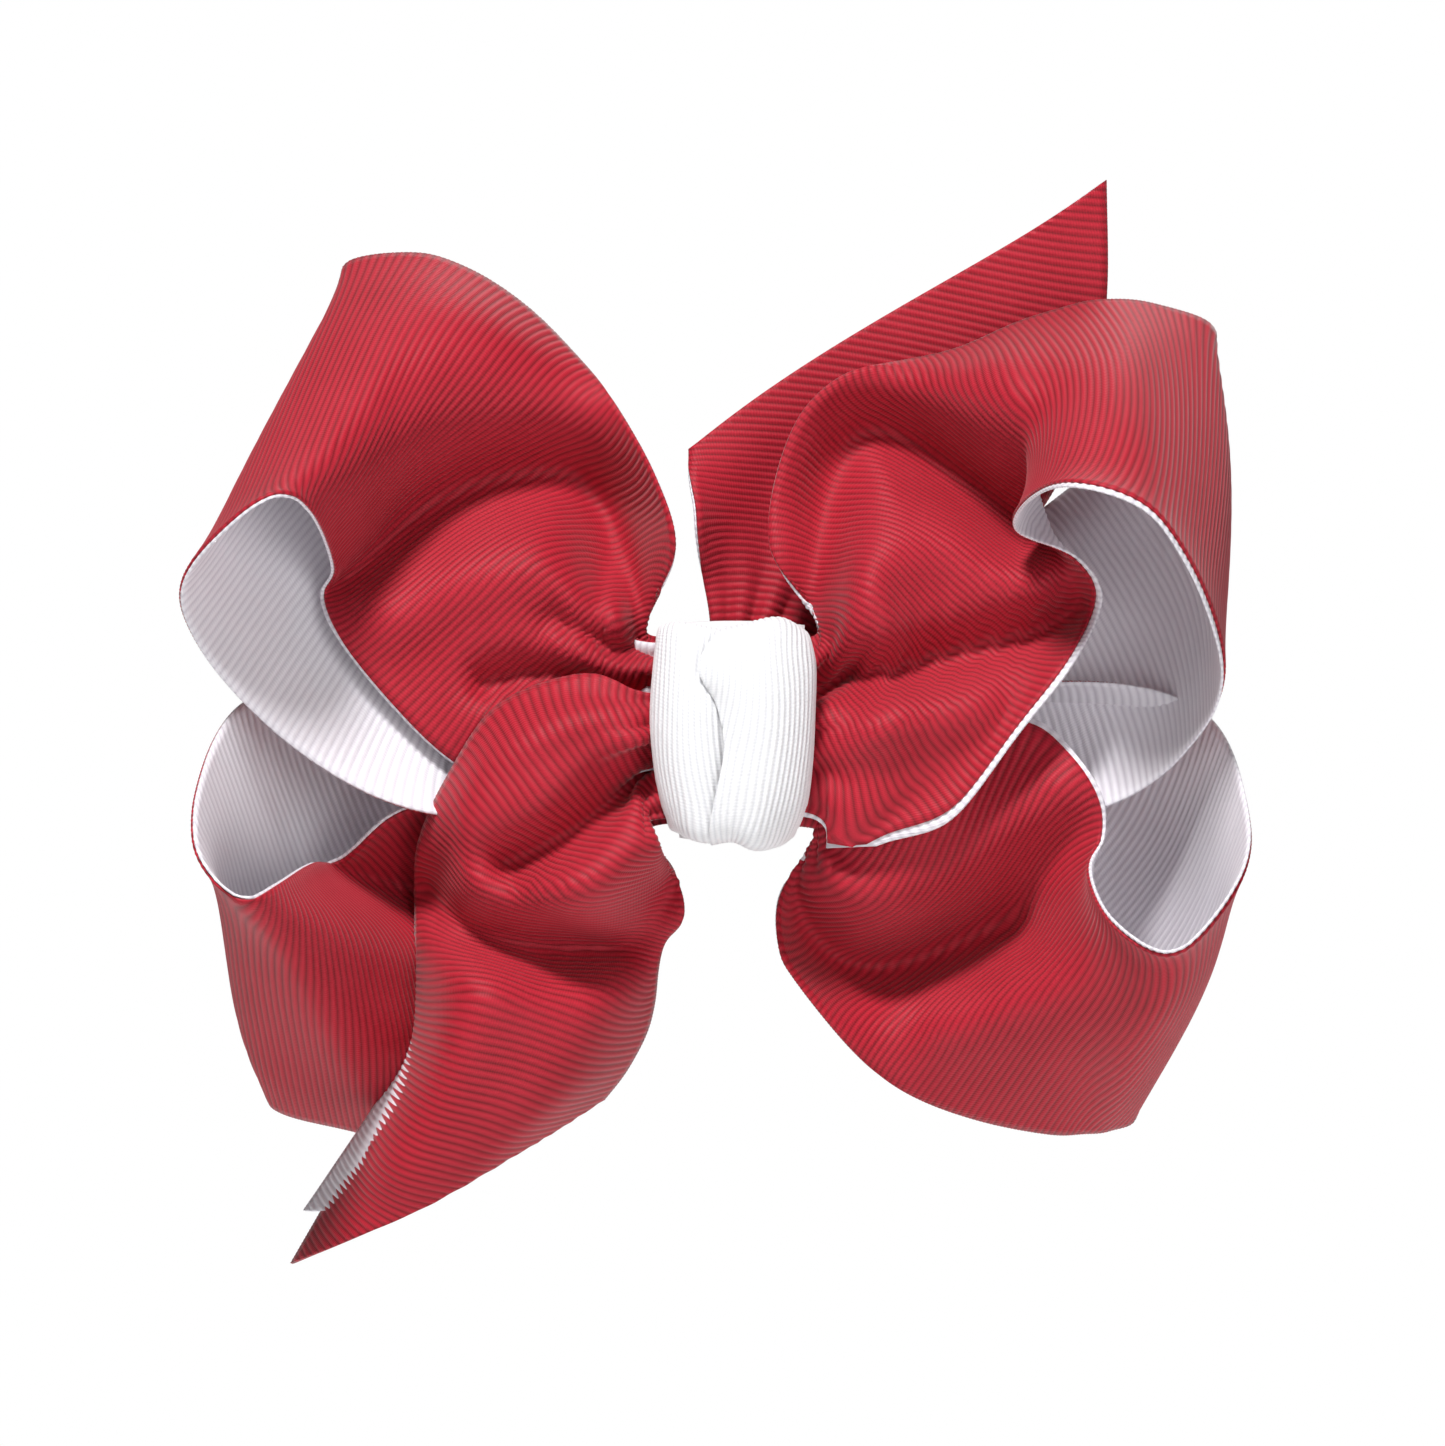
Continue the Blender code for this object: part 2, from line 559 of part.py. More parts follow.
def clip_spring(collection, steel):
    """A torsion spring on the pin, with an arm under each finger plate."""
    steps = int(SPRING_TURNS * SPRING_STEPS_PER_TURN)
    height = SPRING_TURNS * SPRING_PITCH
    arm_x = CLIP_TAIL - SPRING_ARM_INSET
    points = [(arm_x, height / 2, UPPER_DEPTH - 2 * SPRING_WIRE)]
    for k in range(steps + 1):
        angle = math.pi / 2 + 2 * math.pi * k / SPRING_STEPS_PER_TURN
        points.append((
            HINGE_X + SPRING_RADIUS * math.cos(angle),
            height * (0.5 - k / steps),
            HINGE_DEPTH + SPRING_RADIUS * math.sin(angle),
        ))
    points.append((arm_x, -height / 2, SHEET + 2 * SPRING_WIRE))
    wire("clip_spring", points, SPRING_WIRE, collection, steel)


def clip_lining(collection, mat):
    """A strip of ribbon glued on the upper jaw."""
    back = UPPER_DEPTH + SHEET + GAP
    box(
        "clip_lining",
        (CLIP_NOSE + LINING_INSET, -UPPER_HALF_WIDTH, back),
        (CLIP_TAIL - LINING_INSET, UPPER_HALF_WIDTH, back + LINING_THICK),
        collection,
        mat,
    )


def glue_pad(collection, mat):
    """The set glue between the lining and the back tail."""
    back = UPPER_DEPTH + SHEET + GAP + LINING_THICK + GAP
    box(
        "glue_pad",
        (-GLUE_HALF_X, -GLUE_HALF_Z, back),
        (GLUE_HALF_X, GLUE_HALF_Z, GLUE_FRONT),
        collection,
        mat,
        GLUE_ROUNDING,
    )


def main():
    clear_scene()
    bow = collection_named("cheer_hair_bow")
    cutters = collection_named("cutters", hidden=True)
    red = material("ribbon_red", (0.52, 0.022, 0.045), 0.72)
    white = material("ribbon_white", (0.82, 0.80, 0.82), 0.75)
    knot = material("knot_ribbon", (0.88, 0.88, 0.89), 0.75)
    thread = material("thread", (0.80, 0.80, 0.78), 0.8)
    glue = material("hot_glue", (0.82, 0.80, 0.74), 0.35)
    steel = material("clip_steel", (0.62, 0.62, 0.64), 0.3, metallic=1.0)

    ribbons(bow, red, white)
    knot_band(bow, knot)
    knot_lump(bow, knot)
    gather_thread(bow, thread)
    clip_upper_jaw(bow, cutters, steel)
    clip_lower_jaw(bow, cutters, steel)
    clip_pin(bow, cutters, steel)
    clip_spring(bow, steel)
    clip_lining(bow, knot)
    glue_pad(bow, glue)


main()
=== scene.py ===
import math

import bmesh
import bpy
import numpy as np
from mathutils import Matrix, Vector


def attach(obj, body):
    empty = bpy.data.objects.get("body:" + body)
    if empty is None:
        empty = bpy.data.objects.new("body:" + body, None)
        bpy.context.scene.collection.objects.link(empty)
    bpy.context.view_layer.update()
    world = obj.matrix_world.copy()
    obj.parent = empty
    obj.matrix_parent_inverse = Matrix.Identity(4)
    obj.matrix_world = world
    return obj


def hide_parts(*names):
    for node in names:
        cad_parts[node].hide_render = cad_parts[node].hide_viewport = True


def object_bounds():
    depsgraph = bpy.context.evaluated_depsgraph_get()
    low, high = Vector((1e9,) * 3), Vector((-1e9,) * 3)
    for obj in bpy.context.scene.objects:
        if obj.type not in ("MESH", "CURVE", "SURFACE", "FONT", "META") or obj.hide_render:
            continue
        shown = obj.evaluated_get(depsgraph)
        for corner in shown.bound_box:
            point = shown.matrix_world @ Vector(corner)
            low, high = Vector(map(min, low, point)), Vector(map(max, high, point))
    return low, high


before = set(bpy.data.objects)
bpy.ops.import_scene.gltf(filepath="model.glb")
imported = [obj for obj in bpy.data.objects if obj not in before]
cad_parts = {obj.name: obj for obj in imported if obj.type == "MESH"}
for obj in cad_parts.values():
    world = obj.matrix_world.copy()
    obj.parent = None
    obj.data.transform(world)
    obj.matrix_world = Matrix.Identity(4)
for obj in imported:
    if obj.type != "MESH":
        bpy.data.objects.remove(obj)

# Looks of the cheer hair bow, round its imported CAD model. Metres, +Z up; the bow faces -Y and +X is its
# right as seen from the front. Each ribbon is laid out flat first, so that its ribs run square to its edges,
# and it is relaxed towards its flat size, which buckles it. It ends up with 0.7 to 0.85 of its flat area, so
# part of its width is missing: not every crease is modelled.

CAD_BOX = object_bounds()
MM = 0.001

# Ribbon, in millimetres
RIBBON_WIDTH = 57.15
LAYER_THICK = 0.34
LAYER_SHIFT = 0.19
RIB_PITCH = 1.04
KNOT_PITCH = 0.8
RIB_HEIGHT = 0.075
STEPS_PER_RIB = 5
COLUMN_WIDTH = 1.3
# The selvedge has twice as many ribs as the ribbon, lower by this share.
SELVEDGE, SELVEDGE_RIBS = 0.9, 0.5
WARP_PITCH = 0.42
# Points closer than this, in metres, become one.
WELD = 2e-6

# How finely a curve is read between its points: a guide line, a fold's line and a column of a grid
GUIDE_READS, FOLD_READS, COLUMN_READS = 40, 12, 6
# Too small to show: they keep a division from failing and a curve's readings from standing still.
TINY, SHORTEST_LINK = 1e-9, 1e-6
NORMAL_SMOOTHING = 3

# Grids of the relaxation: the coarse one finds the broad folds, the fine one smooths them.
FINE_ACROSS, FINE_STEP = 20, 2.2
COARSE_ACROSS, COARSE_STEP = 7, 7.0
COARSE_ROUNDS, FINE_ROUNDS = 300, 40
COARSE_BEND, FINE_BEND = 0.04, 0.12
RELAX_GAIN = 1.6
MOST_STRETCH = 1.22
# Links between grid points: rows down, columns over, stiffness
LINKS = ((1, 0, 1.0), (0, 1, 1.0), (1, 1, 0.6), (1, -1, 0.6))
# Share of the way back to the drawn place, per round, in x, y and z
EDGE_HOLD = (0.25, 0.02, 0.25)
INNER_HOLD = (0.04, 0.03, 0.04)
KNOT_HOLD = 0.7
KNOT_HALF_X, KNOT_HALF_Z, KNOT_FADE = 12.0, 16.0, 6.0

# A fold fades out towards the mouth over FOLD_FADE of the ribbon's length, and narrows towards the knot.
FOLD_FADE = 0.1
FOLD_SCALE = 1.6
NEAR_SPREAD, SPREAD_REACH = 0.45, 30.0

# Folds between the edges, deeper than the CAD's up to LEG_FADE stations before the mouth, and pleats that run
# out from the knot
FOLD_GAIN, LEG_FADE = 0.5, 3
PLEAT_WAVES, PLEAT_DRIFT = 5.5, 1.3
PLEAT_START, PLEAT_REACH = 9.5, 11.5
PLEAT_DEPTH, BACK_PLEAT_DEPTH = 0.8, 1.25
# Cloth behind the bow lies against the hair, this far in front of the clip's back face.
HAIR_GAP = 0.8

# Folds seen from the front, on the part of a ribbon that faces the viewer: how far back a fold lies (a
# ridge is negative), how wide it is on either side, and the points (x, z) that it passes through.
FOLDS = {
    "loop_upper_left": [
        (5.0, 5.5, [(-53, 22), (-46, 28), (-38, 32), (-30, 34), (-22, 34), (-16.5, 29), (-14, 22), (-12, 14)]),
        (-2.6, 5.5, [(-45, 16), (-33, 21), (-24, 22), (-17, 15)]),
        (3.2, 3.0, [(-10, 5), (-18, 6), (-26, 8), (-32, 7)]),
        (2.0, 2.0, [(-10, 10), (-16, 11.5), (-24, 15)]),
    ],
    "tail_front": [
        (-2.0, 4.0, [(-13, 0), (-22, 1), (-31, -3), (-37, -10)]),
        (4.0, 3.4, [(-10, -4), (-17, -9), (-23, -14), (-29, -17)]),
        (-2.2, 3.6, [(-12, -15), (-19, -20), (-27, -22), (-34, -21)]),
        (-2.6, 6.0, [(-33, -34), (-36, -40), (-40, -47), (-45, -56)]),
        (5.0, 4.0, [(-40, -21), (-34, -26.5), (-26, -29), (-18, -28.5), (-12, -25), (-8, -19)]),
    ],
    "loop_lower_left": [
        (-2.0, 5.0, [(-62, -22), (-52, -24), (-44, -28)]),
        (3.0, 4.0, [(-54, -18), (-46, -21), (-38, -20)]),
        (1.6, 5.0, [(-33, -28), (-36, -34), (-38.5, -41), (-40, -47)]),
    ],
    "tail_back": [
        (1.6, 6.0, [(17, 7), (25, 12.5), (34, 19), (41, 24)]),
    ],
    "loop_upper_right": [
        (5.5, 5.0, [(38, 27), (32, 33), (24, 38.5), (17, 39.5), (13, 33), (12, 23), (11, 14)]),
        (-2.6, 5.5, [(13, 14), (18, 22), (28, 25), (40, 21)]),
        (4.2, 3.6, [(10, 6), (18, 8), (28, 10), (38, 13), (46, 16)]),
        (-1.6, 3.6, [(12, 1), (22, 1), (32, 3)]),
    ],
    "loop_lower_right": [
        (3.7, 4.8, [(8, -17), (9, -25), (14, -30.5), (22, -31), (30, -28.5), (37, -26)]),
        (-2.4, 4.6, [(12, -20), (20, -22.5), (29, -19), (37, -12), (43, -8)]),
        (-2.0, 6.0, [(30, -38), (42, -32), (48, -24)]),
    ],
}

# How far the red edge stops short of the white one at the loop's open mouth, in millimetres
RED_INSET = {
    "loop_upper_left": 0.3,
    "loop_lower_left": 0.3,
    "loop_upper_right": 1.3,
    "loop_lower_right": 0.8,
    "tail_front": 0.0,
    "tail_back": 0.0,
}
# How far the white edge stops short of the red one on the other side
WHITE_INSET = 0.8

# The white layer of the front tail curls away from the red one towards its tip, in (x, y, z) millimetres.
PEEL = (-3.4, 6.0, 0.5)
PEEL_START = 0.55
PEEL_SHORTER = 8.0

# How far each loop's open mouth swells forward of its guides, as in the CAD
MOUTH_SWELL = {
    "loop_upper_left": (10, 9.2, 3.8),
    "loop_lower_left": (22, 8.8, 3.8),
    "loop_upper_right": (18, 11.0, 2.8),
    "loop_lower_right": (11, 10.8, 2.8),
}
SWELL_SHARES = (1, 0.55, 0.12, 0)

# Guide lines of each ribbon, as in the CAD: from the knot, round the loop and back to the knot, as
# (x, z, depth in front of the clip's back face). "selvedge_a" is the edge at the loop's open mouth.
GUIDE_RIBBON_WIDTH = 61.4
BACK_TAIL_DEPTH = 13.4
RIBBON_GUIDES = {
    "loop_upper_left": {
        "selvedge_a": [
            (-2, -6, 28), (-12, -5, 27.5), (-25, -9, 26), (-39.5, -5, 24.5), (-48.5, 4.5, 23.5),
            (-55.5, 13.5, 22), (-58, 20, 23), (-56.5, 24.5, 31), (-63, 34.5, 42), (-78, 22.5, 35),
            (-76, 12, 26), (-62, -2.5, 21), (-43.5, -11.5, 20), (-24, -10, 22), (-12, -5, 24.5),
            (-2, -5, 24.5),
        ],
        "fold_a": [
            (-2, 1, 28), (-12, 2, 28), (-20.5, 4, 27), (-30.5, 13, 27.5), (-37.5, 20.5, 24),
            (-43.5, 25.5, 20), (-48.5, 29, 22), (-51, 33, 31), (-55, 42, 36), (-70.5, 37.5, 27),
            (-67, 25, 17), (-52, 12, 15), (-36, 0, 17.5), (-21, -1, 20), (-12, 1, 24), (-2, 1, 24.5),
        ],
        "fold_b": [
            (-2, 8, 28), (-12, 9, 29), (-17.5, 14.5, 28), (-19, 30.5, 21), (-24.5, 39.5, 20),
            (-30.5, 47.5, 22), (-36, 53.5, 24), (-42, 57.5, 25), (-48.5, 59.5, 23), (-61.5, 55.5, 16),
            (-58, 41, 9), (-44, 27, 9), (-30, 13, 14.5), (-18, 7, 18.5), (-12, 7, 24), (-2, 7, 24.5),
        ],
        "selvedge_b": [
            (-2, 14, 28), (-12.5, 14.5, 28), (-8.5, 25, 28.5), (-11, 35.5, 25), (-16, 44.5, 21.5),
            (-22.5, 53, 18), (-29.5, 60.5, 14.5), (-37.5, 66, 12), (-45.5, 68.5, 10), (-56, 66, 7),
            (-50, 56, 4.5), (-37, 42, 5), (-25, 27, 9), (-16, 16, 17), (-12.5, 13, 23.5), (-2, 13, 24.5),
        ],
    },
    "loop_lower_left": {
        "selvedge_a": [
            (-2, 2, 21), (-12, 1, 21), (-19, -4, 20), (-33, -8, 17.5), (-47.5, -11.5, 15.5),
            (-55.5, -19, 16), (-59.5, -19.5, 25), (-64, -22.5, 33), (-69.5, -24.5, 36),
            (-76.5, -17, 31), (-76, -8, 22), (-70.5, 4, 12), (-57, 7, 8.5), (-36, 5, 11.5),
            (-20, 3, 16), (-12, 2, 17.5), (-2, 2, 17.5),
        ],
        "fold_a": [
            (-2, -3, 21), (-12, -4, 21), (-20, -12, 20), (-32, -18, 18), (-42, -23, 15),
            (-47, -26, 15), (-51, -29, 21), (-56, -33, 27), (-62, -35, 29), (-73.5, -28, 24),
            (-70, -18, 15), (-62, -9, 8), (-51, -5, 6.5), (-33, -3, 13), (-20, -2, 16),
            (-12, -3, 17.5), (-2, -3, 17.5),
        ],
        "fold_b": [
            (-2, -8, 21), (-12, -9, 21), (-17, -20, 20), (-24, -31, 16), (-32, -38, 13),
            (-40, -42, 14), (-46, -44, 18), (-52, -46, 20), (-58, -46, 19), (-70, -40, 15),
            (-65, -31, 8), (-55, -23, 4), (-43, -17, 5), (-28, -12, 11), (-18, -8, 15),
            (-12, -8, 17.5), (-2, -8, 17.5),
        ],
        "selvedge_b": [
            (-2, -13, 21), (-12.5, -14, 21), (-12, -24, 20), (-15, -38, 15), (-22, -48, 12),
            (-31, -54, 10), (-40, -57.5, 8.5), (-47, -58, 8), (-53, -57, 7.5), (-66, -52.5, 6),
            (-59, -46, 3), (-48, -38, 2), (-37, -29, 3.5), (-24, -20, 9), (-16, -14, 14),
            (-12.5, -13, 17.5), (-2, -13, 17.5),
        ],
    },
    "loop_upper_right": {
        "selvedge_a": [
            (2, -11, 30.5), (12.5, -12.5, 30.5), (13.5, -19, 31), (21.5, -14.5, 32), (31.5, -11.5, 32),
            (40.5, 1, 30.5), (48, 10, 28), (52.5, 19.5, 23.5), (48, 26, 22), (39.5, 30, 31.5), (46, 36, 43),
            (60, 31, 43), (69.5, 9, 31), (64, -2.5, 23), (52.5, -10.5, 19.5), (35.5, -12.5, 18.5),
            (21, -9.5, 19.5), (12, -5, 21), (2, -5, 21),
        ],
        "fold_a": [
            (2, -3.5, 30.5), (12, -4, 31.5), (21, -5.5, 33), (30.5, 2, 32.5), (38, 12, 30),
            (42.5, 18, 27.5), (45, 22.5, 24.5), (45.5, 28, 22.5), (43.5, 33, 25), (42.5, 37.5, 31),
            (47.5, 42.5, 36.5), (58, 43, 36), (71, 26, 24), (64, 13, 17), (51, 5, 16.5), (33, -1, 17.5),
            (20, -2, 19), (12, 0, 21), (2, 0, 21),
        ],
        "fold_b": [
            (2, 4, 30.5), (12, 6, 30.5), (19.5, 16, 31), (22, 26, 28), (24.5, 34, 23), (27, 40, 21),
            (30.5, 44, 24), (35, 47, 27), (39, 49, 29), (44, 51, 30), (51, 53, 30), (59, 53, 27),
            (71, 42, 17), (63, 30, 12), (48.5, 19, 13), (31, 9, 16.5), (19, 5, 18.5), (12, 5, 21),
            (2, 5, 21),
        ],
        "selvedge_b": [
            (2, 12, 30.5), (12.5, 14.5, 30.5), (6, 25, 29.5), (6.5, 36, 27.5), (10, 46.5, 24.5),
            (17, 51, 22), (24.5, 52.5, 20.5), (32.5, 54.5, 19), (40, 58, 17.5), (46, 60, 16),
            (52, 61.5, 14.5), (60, 61, 13), (69, 56.5, 11), (61, 45.5, 9.5), (46, 33, 10.5),
            (28.5, 20, 14), (18, 12, 17), (12, 10, 20.5), (2, 10, 21),
        ],
    },
    "loop_lower_right": {
        "selvedge_a": [
            (2, 6, 26), (12, 4, 26), (21, 1, 26), (32.5, 2.5, 26), (43, 2.5, 25.5), (48.5, -3.5, 25),
            (52.5, -10.5, 24), (52.5, -16, 24), (50, -20.5, 31), (54, -28, 40), (62.5, -32.5, 46),
            (73, -19, 41), (72.5, -8, 31), (67.5, 2.5, 20), (54, 7, 13), (30, 6, 13.5), (20, 4, 15.5),
            (12, 2, 17.5), (2, 2, 17.5),
        ],
        "fold_a": [
            (2, -0.5, 26), (12, -2.5, 26.5), (17, -11, 27), (25, -13.5, 28.5), (34, -14, 27),
            (41, -16.5, 23), (45, -20, 21), (47, -24, 24), (49.5, -29.5, 31), (53.5, -35, 36),
            (60.5, -40, 37), (69, -32, 28), (66, -20, 18), (59, -9, 12.5), (46, -2, 12), (27, -1, 13.5),
            (19, -1.5, 15.5), (12, -2, 17.5), (2, -2, 17.5),
        ],
        "fold_b": [
            (2, -7, 26), (12, -9, 26), (12, -20, 26), (17, -29, 21.5), (24, -33, 18.5), (31, -34.5, 20),
            (37, -37, 23), (42, -39.5, 25), (46, -42, 27), (51, -45, 27), (57, -48, 24), (63, -43, 16),
            (58, -32, 10), (50, -20, 8), (39, -12, 10.5), (24, -7, 13), (17, -6.5, 15), (12, -6.5, 17.5),
            (2, -6.5, 17.5),
        ],
        "selvedge_b": [
            (2, -13, 26), (12.5, -14, 26), (6.5, -22.5, 26.5), (6.5, -31, 26), (9.5, -36, 24),
            (17, -44, 20.5), (26, -51, 17), (35.5, -55, 14), (45, -57, 11.5), (50, -57, 10),
            (54, -56.5, 8), (57.5, -54, 5.5), (51, -44, 3), (42, -31, 4), (32, -21, 8), (21, -13, 12.5),
            (16, -11.5, 14.5), (12.5, -11, 17.5), (2, -11, 17.5),
        ],
    },
    "tail_front": {
        "selvedge_a": [
            (-2, 7, 31.5), (-12, 5.5, 32), (-20.5, 8.5, 32), (-33.5, 4.5, 31), (-40.5, -6, 28),
            (-45.5, -18, 25), (-45, -28, 24), (-45, -38, 23), (-47, -48, 21), (-54.5, -61.5, 19),
            (-62.5, -75.5, 16),
        ],
        "fold_a": [
            (-2, 0.5, 31.5), (-12, -1, 32.5), (-20.5, -4, 34), (-27.5, -9.5, 35), (-37.5, -16.5, 32),
            (-37.5, -24, 27), (-36, -31, 30), (-36, -39.5, 31), (-37.5, -50.5, 30), (-42, -59, 27),
            (-47.5, -67.5, 24),
        ],
        "fold_b": [
            (-2, -6, 31.5), (-12, -8, 32.5), (-13.5, -14, 33), (-19, -21, 33), (-22, -26.5, 30),
            (-20.5, -30.5, 27), (-20.5, -36, 31), (-22, -42.5, 31), (-24.5, -50.5, 29),
            (-28.5, -55.5, 27.5), (-33.5, -60.5, 24),
        ],
        "selvedge_b": [
            (-2, -12, 31.5), (-12.5, -13, 31), (-8.5, -20, 30), (-7.5, -26, 28), (-10, -29.5, 26),
            (-11, -33, 23), (-11.5, -38, 20), (-12.5, -42.5, 17), (-14.5, -46.5, 15),
            (-16.5, -49.5, 14.5), (-19, -52.5, 14),
        ],
    },
    "tail_back": {
        "selvedge_a": [
            (-3, -9, 13.4), (-3, 2, 13.4), (-3, 16, 13.2), (-4.5, 29, 12), (-5.5, 36, 11.5),
            (-6, 38.5, 11.4), (-6, 40.5, 11.3),
        ],
        "fold_a": [
            (0, -9, 13.4), (1, 1, 13.4), (4, 14, 13), (9, 27, 11), (13, 39, 9), (13.5, 47, 8.5),
            (13.5, 53.5, 8),
        ],
        "fold_b": [
            (4, -9, 13.4), (6, 0, 13.4), (12, 12, 12.5), (22, 25, 9.5), (32, 42, 7), (33, 55, 6.5),
            (33, 66.5, 6),
        ],
        "selvedge_b": [
            (8, -9, 13.4), (11, -2, 13.4), (20, 8, 12), (36, 22, 8), (52, 46, 5.5), (53.5, 62, 5),
            (52.5, 79.5, 5.5),
        ],
    },
}

# The knot's ribbon, as rows of (x, z, depth) from top to bottom: the part that goes round to the left, and
# the part that lies over it and goes to the right. Ribs run down each row of columns.
KNOT_LEFT = [
    [(1, 12.6, 34.0), (-3, 13.3, 34.0), (-7, 14.2, 34.2), (-9.2, 14.1, 33.0), (-9.6, 13.6, 31.5)],
    [(0.5, 12.6, 37.6), (-3, 13.2, 38.2), (-6.8, 13.8, 37.8), (-9.4, 13.2, 35.4), (-10.0, 12.4, 32.0)],
    [(0, 6, 37.8), (-3.5, 5.5, 39.6), (-7.5, 6, 39.2), (-10.3, 6, 36.2), (-10.6, 6, 32.0)],
    [(0.5, 0, 37.6), (-3.5, -1, 39.5), (-7.5, -1, 39.2), (-10.4, 0, 36.2), (-10.7, 0, 32.0)],
    [(0, -6, 37.5), (-3, -7, 39.1), (-6.5, -7.5, 38.7), (-9.3, -7, 35.8), (-9.9, -7, 32.0)],
    [(-0.5, -12.5, 37.4), (-3, -13.6, 37.8), (-5.5, -13.2, 37.4), (-7.5, -12.2, 35.2), (-8.6, -11.6, 32.0)],
    [(-0.5, -13.4, 34.0), (-3, -14.4, 34.0), (-5.4, -14.0, 34.0), (-7.0, -13.2, 33.0), (-8.0, -12.8, 31.5)],
]
KNOT_RIGHT = [
    [(-1.2, 12.8, 34.2), (2, 13.7, 34.2), (6, 14.5, 34.0), (8.9, 13.2, 33.0), (9.5, 12.4, 31.5)],
    [(-2.4, 12.6, 38.9), (1.5, 13.4, 38.9), (6, 14.1, 38.0), (9.2, 12.3, 35.4), (9.9, 11, 32.0)],
    [(-4.6, 8.6, 39.9), (0, 8.2, 40.3), (5.5, 8.6, 39.8), (9.7, 8.8, 36.4), (10.3, 8.5, 32.0)],
    [(-2.0, 4.0, 39.3), (1.2, 3, 40.5), (5.5, 3, 40.2), (9.5, 3, 36.6), (10.2, 3, 32.0)],
    [(-1.0, -2, 39.6), (1.5, -2.5, 40.4), (5.5, -3, 39.9), (9.2, -3.5, 36.2), (9.9, -3.5, 32.0)],
    [(-2.2, -8, 39.6), (1, -8.5, 40.1), (4.5, -9, 39.5), (8.3, -9.5, 36.0), (9.2, -9, 32.0)],
    [(-3.2, -13.2, 38.0), (0, -13.0, 38.4), (3, -14.2, 37.8), (6.2, -13.6, 35.2), (8, -12.4, 32.0)],
    [(-3.0, -14.2, 34.2), (0, -13.8, 34.2), (3, -14.9, 34.0), (5.8, -14.4, 33.0), (7.4, -13.4, 31.5)],
]
# How far the right part lies over the left one, and the step between rows of the knot's grids
KNOT_FOLD, KNOT_STEP = 0.5, 0.8

# The band that goes round the bundle under the knot's front, with its two ends lapped behind
BAND_HALF_X, BAND_HALF_Z, BAND_TAPER = 8.3, 14.6, 1.2
BAND_BACK, BAND_FRONT = 14.6, 33.4
BAND_SQUARENESS = 4.0
BAND_STATIONS = 36
BAND_STEP, BAND_ACROSS = 1.0, 12
BAND_LAP = 0.5
BAND_CROWN = 0.35


# ---------------------------------------------------------------- curves and grids


def catmull_rom(points, at):
    """A smooth curve through the points, read at the parameters in at, from 0 to len(points) - 1."""
    points = np.asarray(points, float)
    padded = np.concatenate([2 * points[:1] - points[1:2], points, 2 * points[-1:] - points[-2:-1]])
    span = np.clip(np.floor(at).astype(int), 0, len(points) - 2)
    t = (at - span).reshape((-1,) + (1,) * (points.ndim - 1))
    before, start, end, after = (padded[span + k] for k in range(4))
    return 0.5 * (
        2 * start
        + (end - before) * t
        + (2 * before - 5 * start + 4 * end - after) * t**2
        + (3 * start - before - 3 * end + after) * t**3
    )


def resample(grid, rows, columns):
    """The grid read smoothly at that many even steps each way."""
    grid = catmull_rom(grid, np.linspace(0, len(grid) - 1, rows + 1))
    turned = grid.swapaxes(0, 1)
    return catmull_rom(turned, np.linspace(0, len(turned) - 1, columns + 1)).swapaxes(0, 1)


def even_surface(stations, step, across):
    """A surface through [station, line] points, at even steps along and across."""
    fine = resample(stations, GUIDE_READS * (len(stations) - 1), stations.shape[1] - 1)
    run = np.linalg.norm(np.diff(fine, axis=0), axis=2).mean(axis=1)
    run = np.concatenate([[0], np.cumsum(run)])
    rows = max(int(run[-1] / step), 3)
    at = np.interp(np.linspace(0, run[-1], rows + 1), run, np.arange(len(run)))
    return resample(catmull_rom(fine, at), rows, across)


def from_front(points):
    """(x, z, depth) as (x, y, z)."""
    x, z, depth = np.moveaxis(np.asarray(points, float), -1, 0)
    return np.stack([x, -depth, z], axis=-1)


def guide_surface(name):
    """The ribbon's middle surface as the CAD has it, with deeper folds between its edges."""
    lines = [RIBBON_GUIDES[name][line] for line in ("selvedge_a", "fold_a", "fold_b", "selvedge_b")]
    behind_knot = np.array((0, 0, BACK_TAIL_DEPTH))
    scale = RIBBON_WIDTH / GUIDE_RIBBON_WIDTH
    stations = behind_knot + (np.array(lines, float).transpose(1, 0, 2) - behind_knot) * scale
    if name in MOUTH_SWELL:
        most, centre, reach = MOUTH_SWELL[name]
        number = np.arange(len(stations))
        away = np.clip((number - centre) / reach, -1, 1)
        stations[:, :, 2] += np.outer(most * np.cos(away * math.pi / 2) ** 2, SWELL_SHARES)
        # The front leg runs from the knot to the mouth.
        front = np.clip((centre - number) / LEG_FADE, 0, 1) * np.clip(number - 1, 0, 1)
        share = np.linspace(0, 1, 4)
        straight = np.outer(stations[:, 0, 2], 1 - share) + np.outer(stations[:, 3, 2], share)
        stations[:, :, 2] += FOLD_GAIN * front[:, None] * (stations[:, :, 2] - straight)
    return even_surface(from_front(stations), FINE_STEP, FINE_ACROSS)


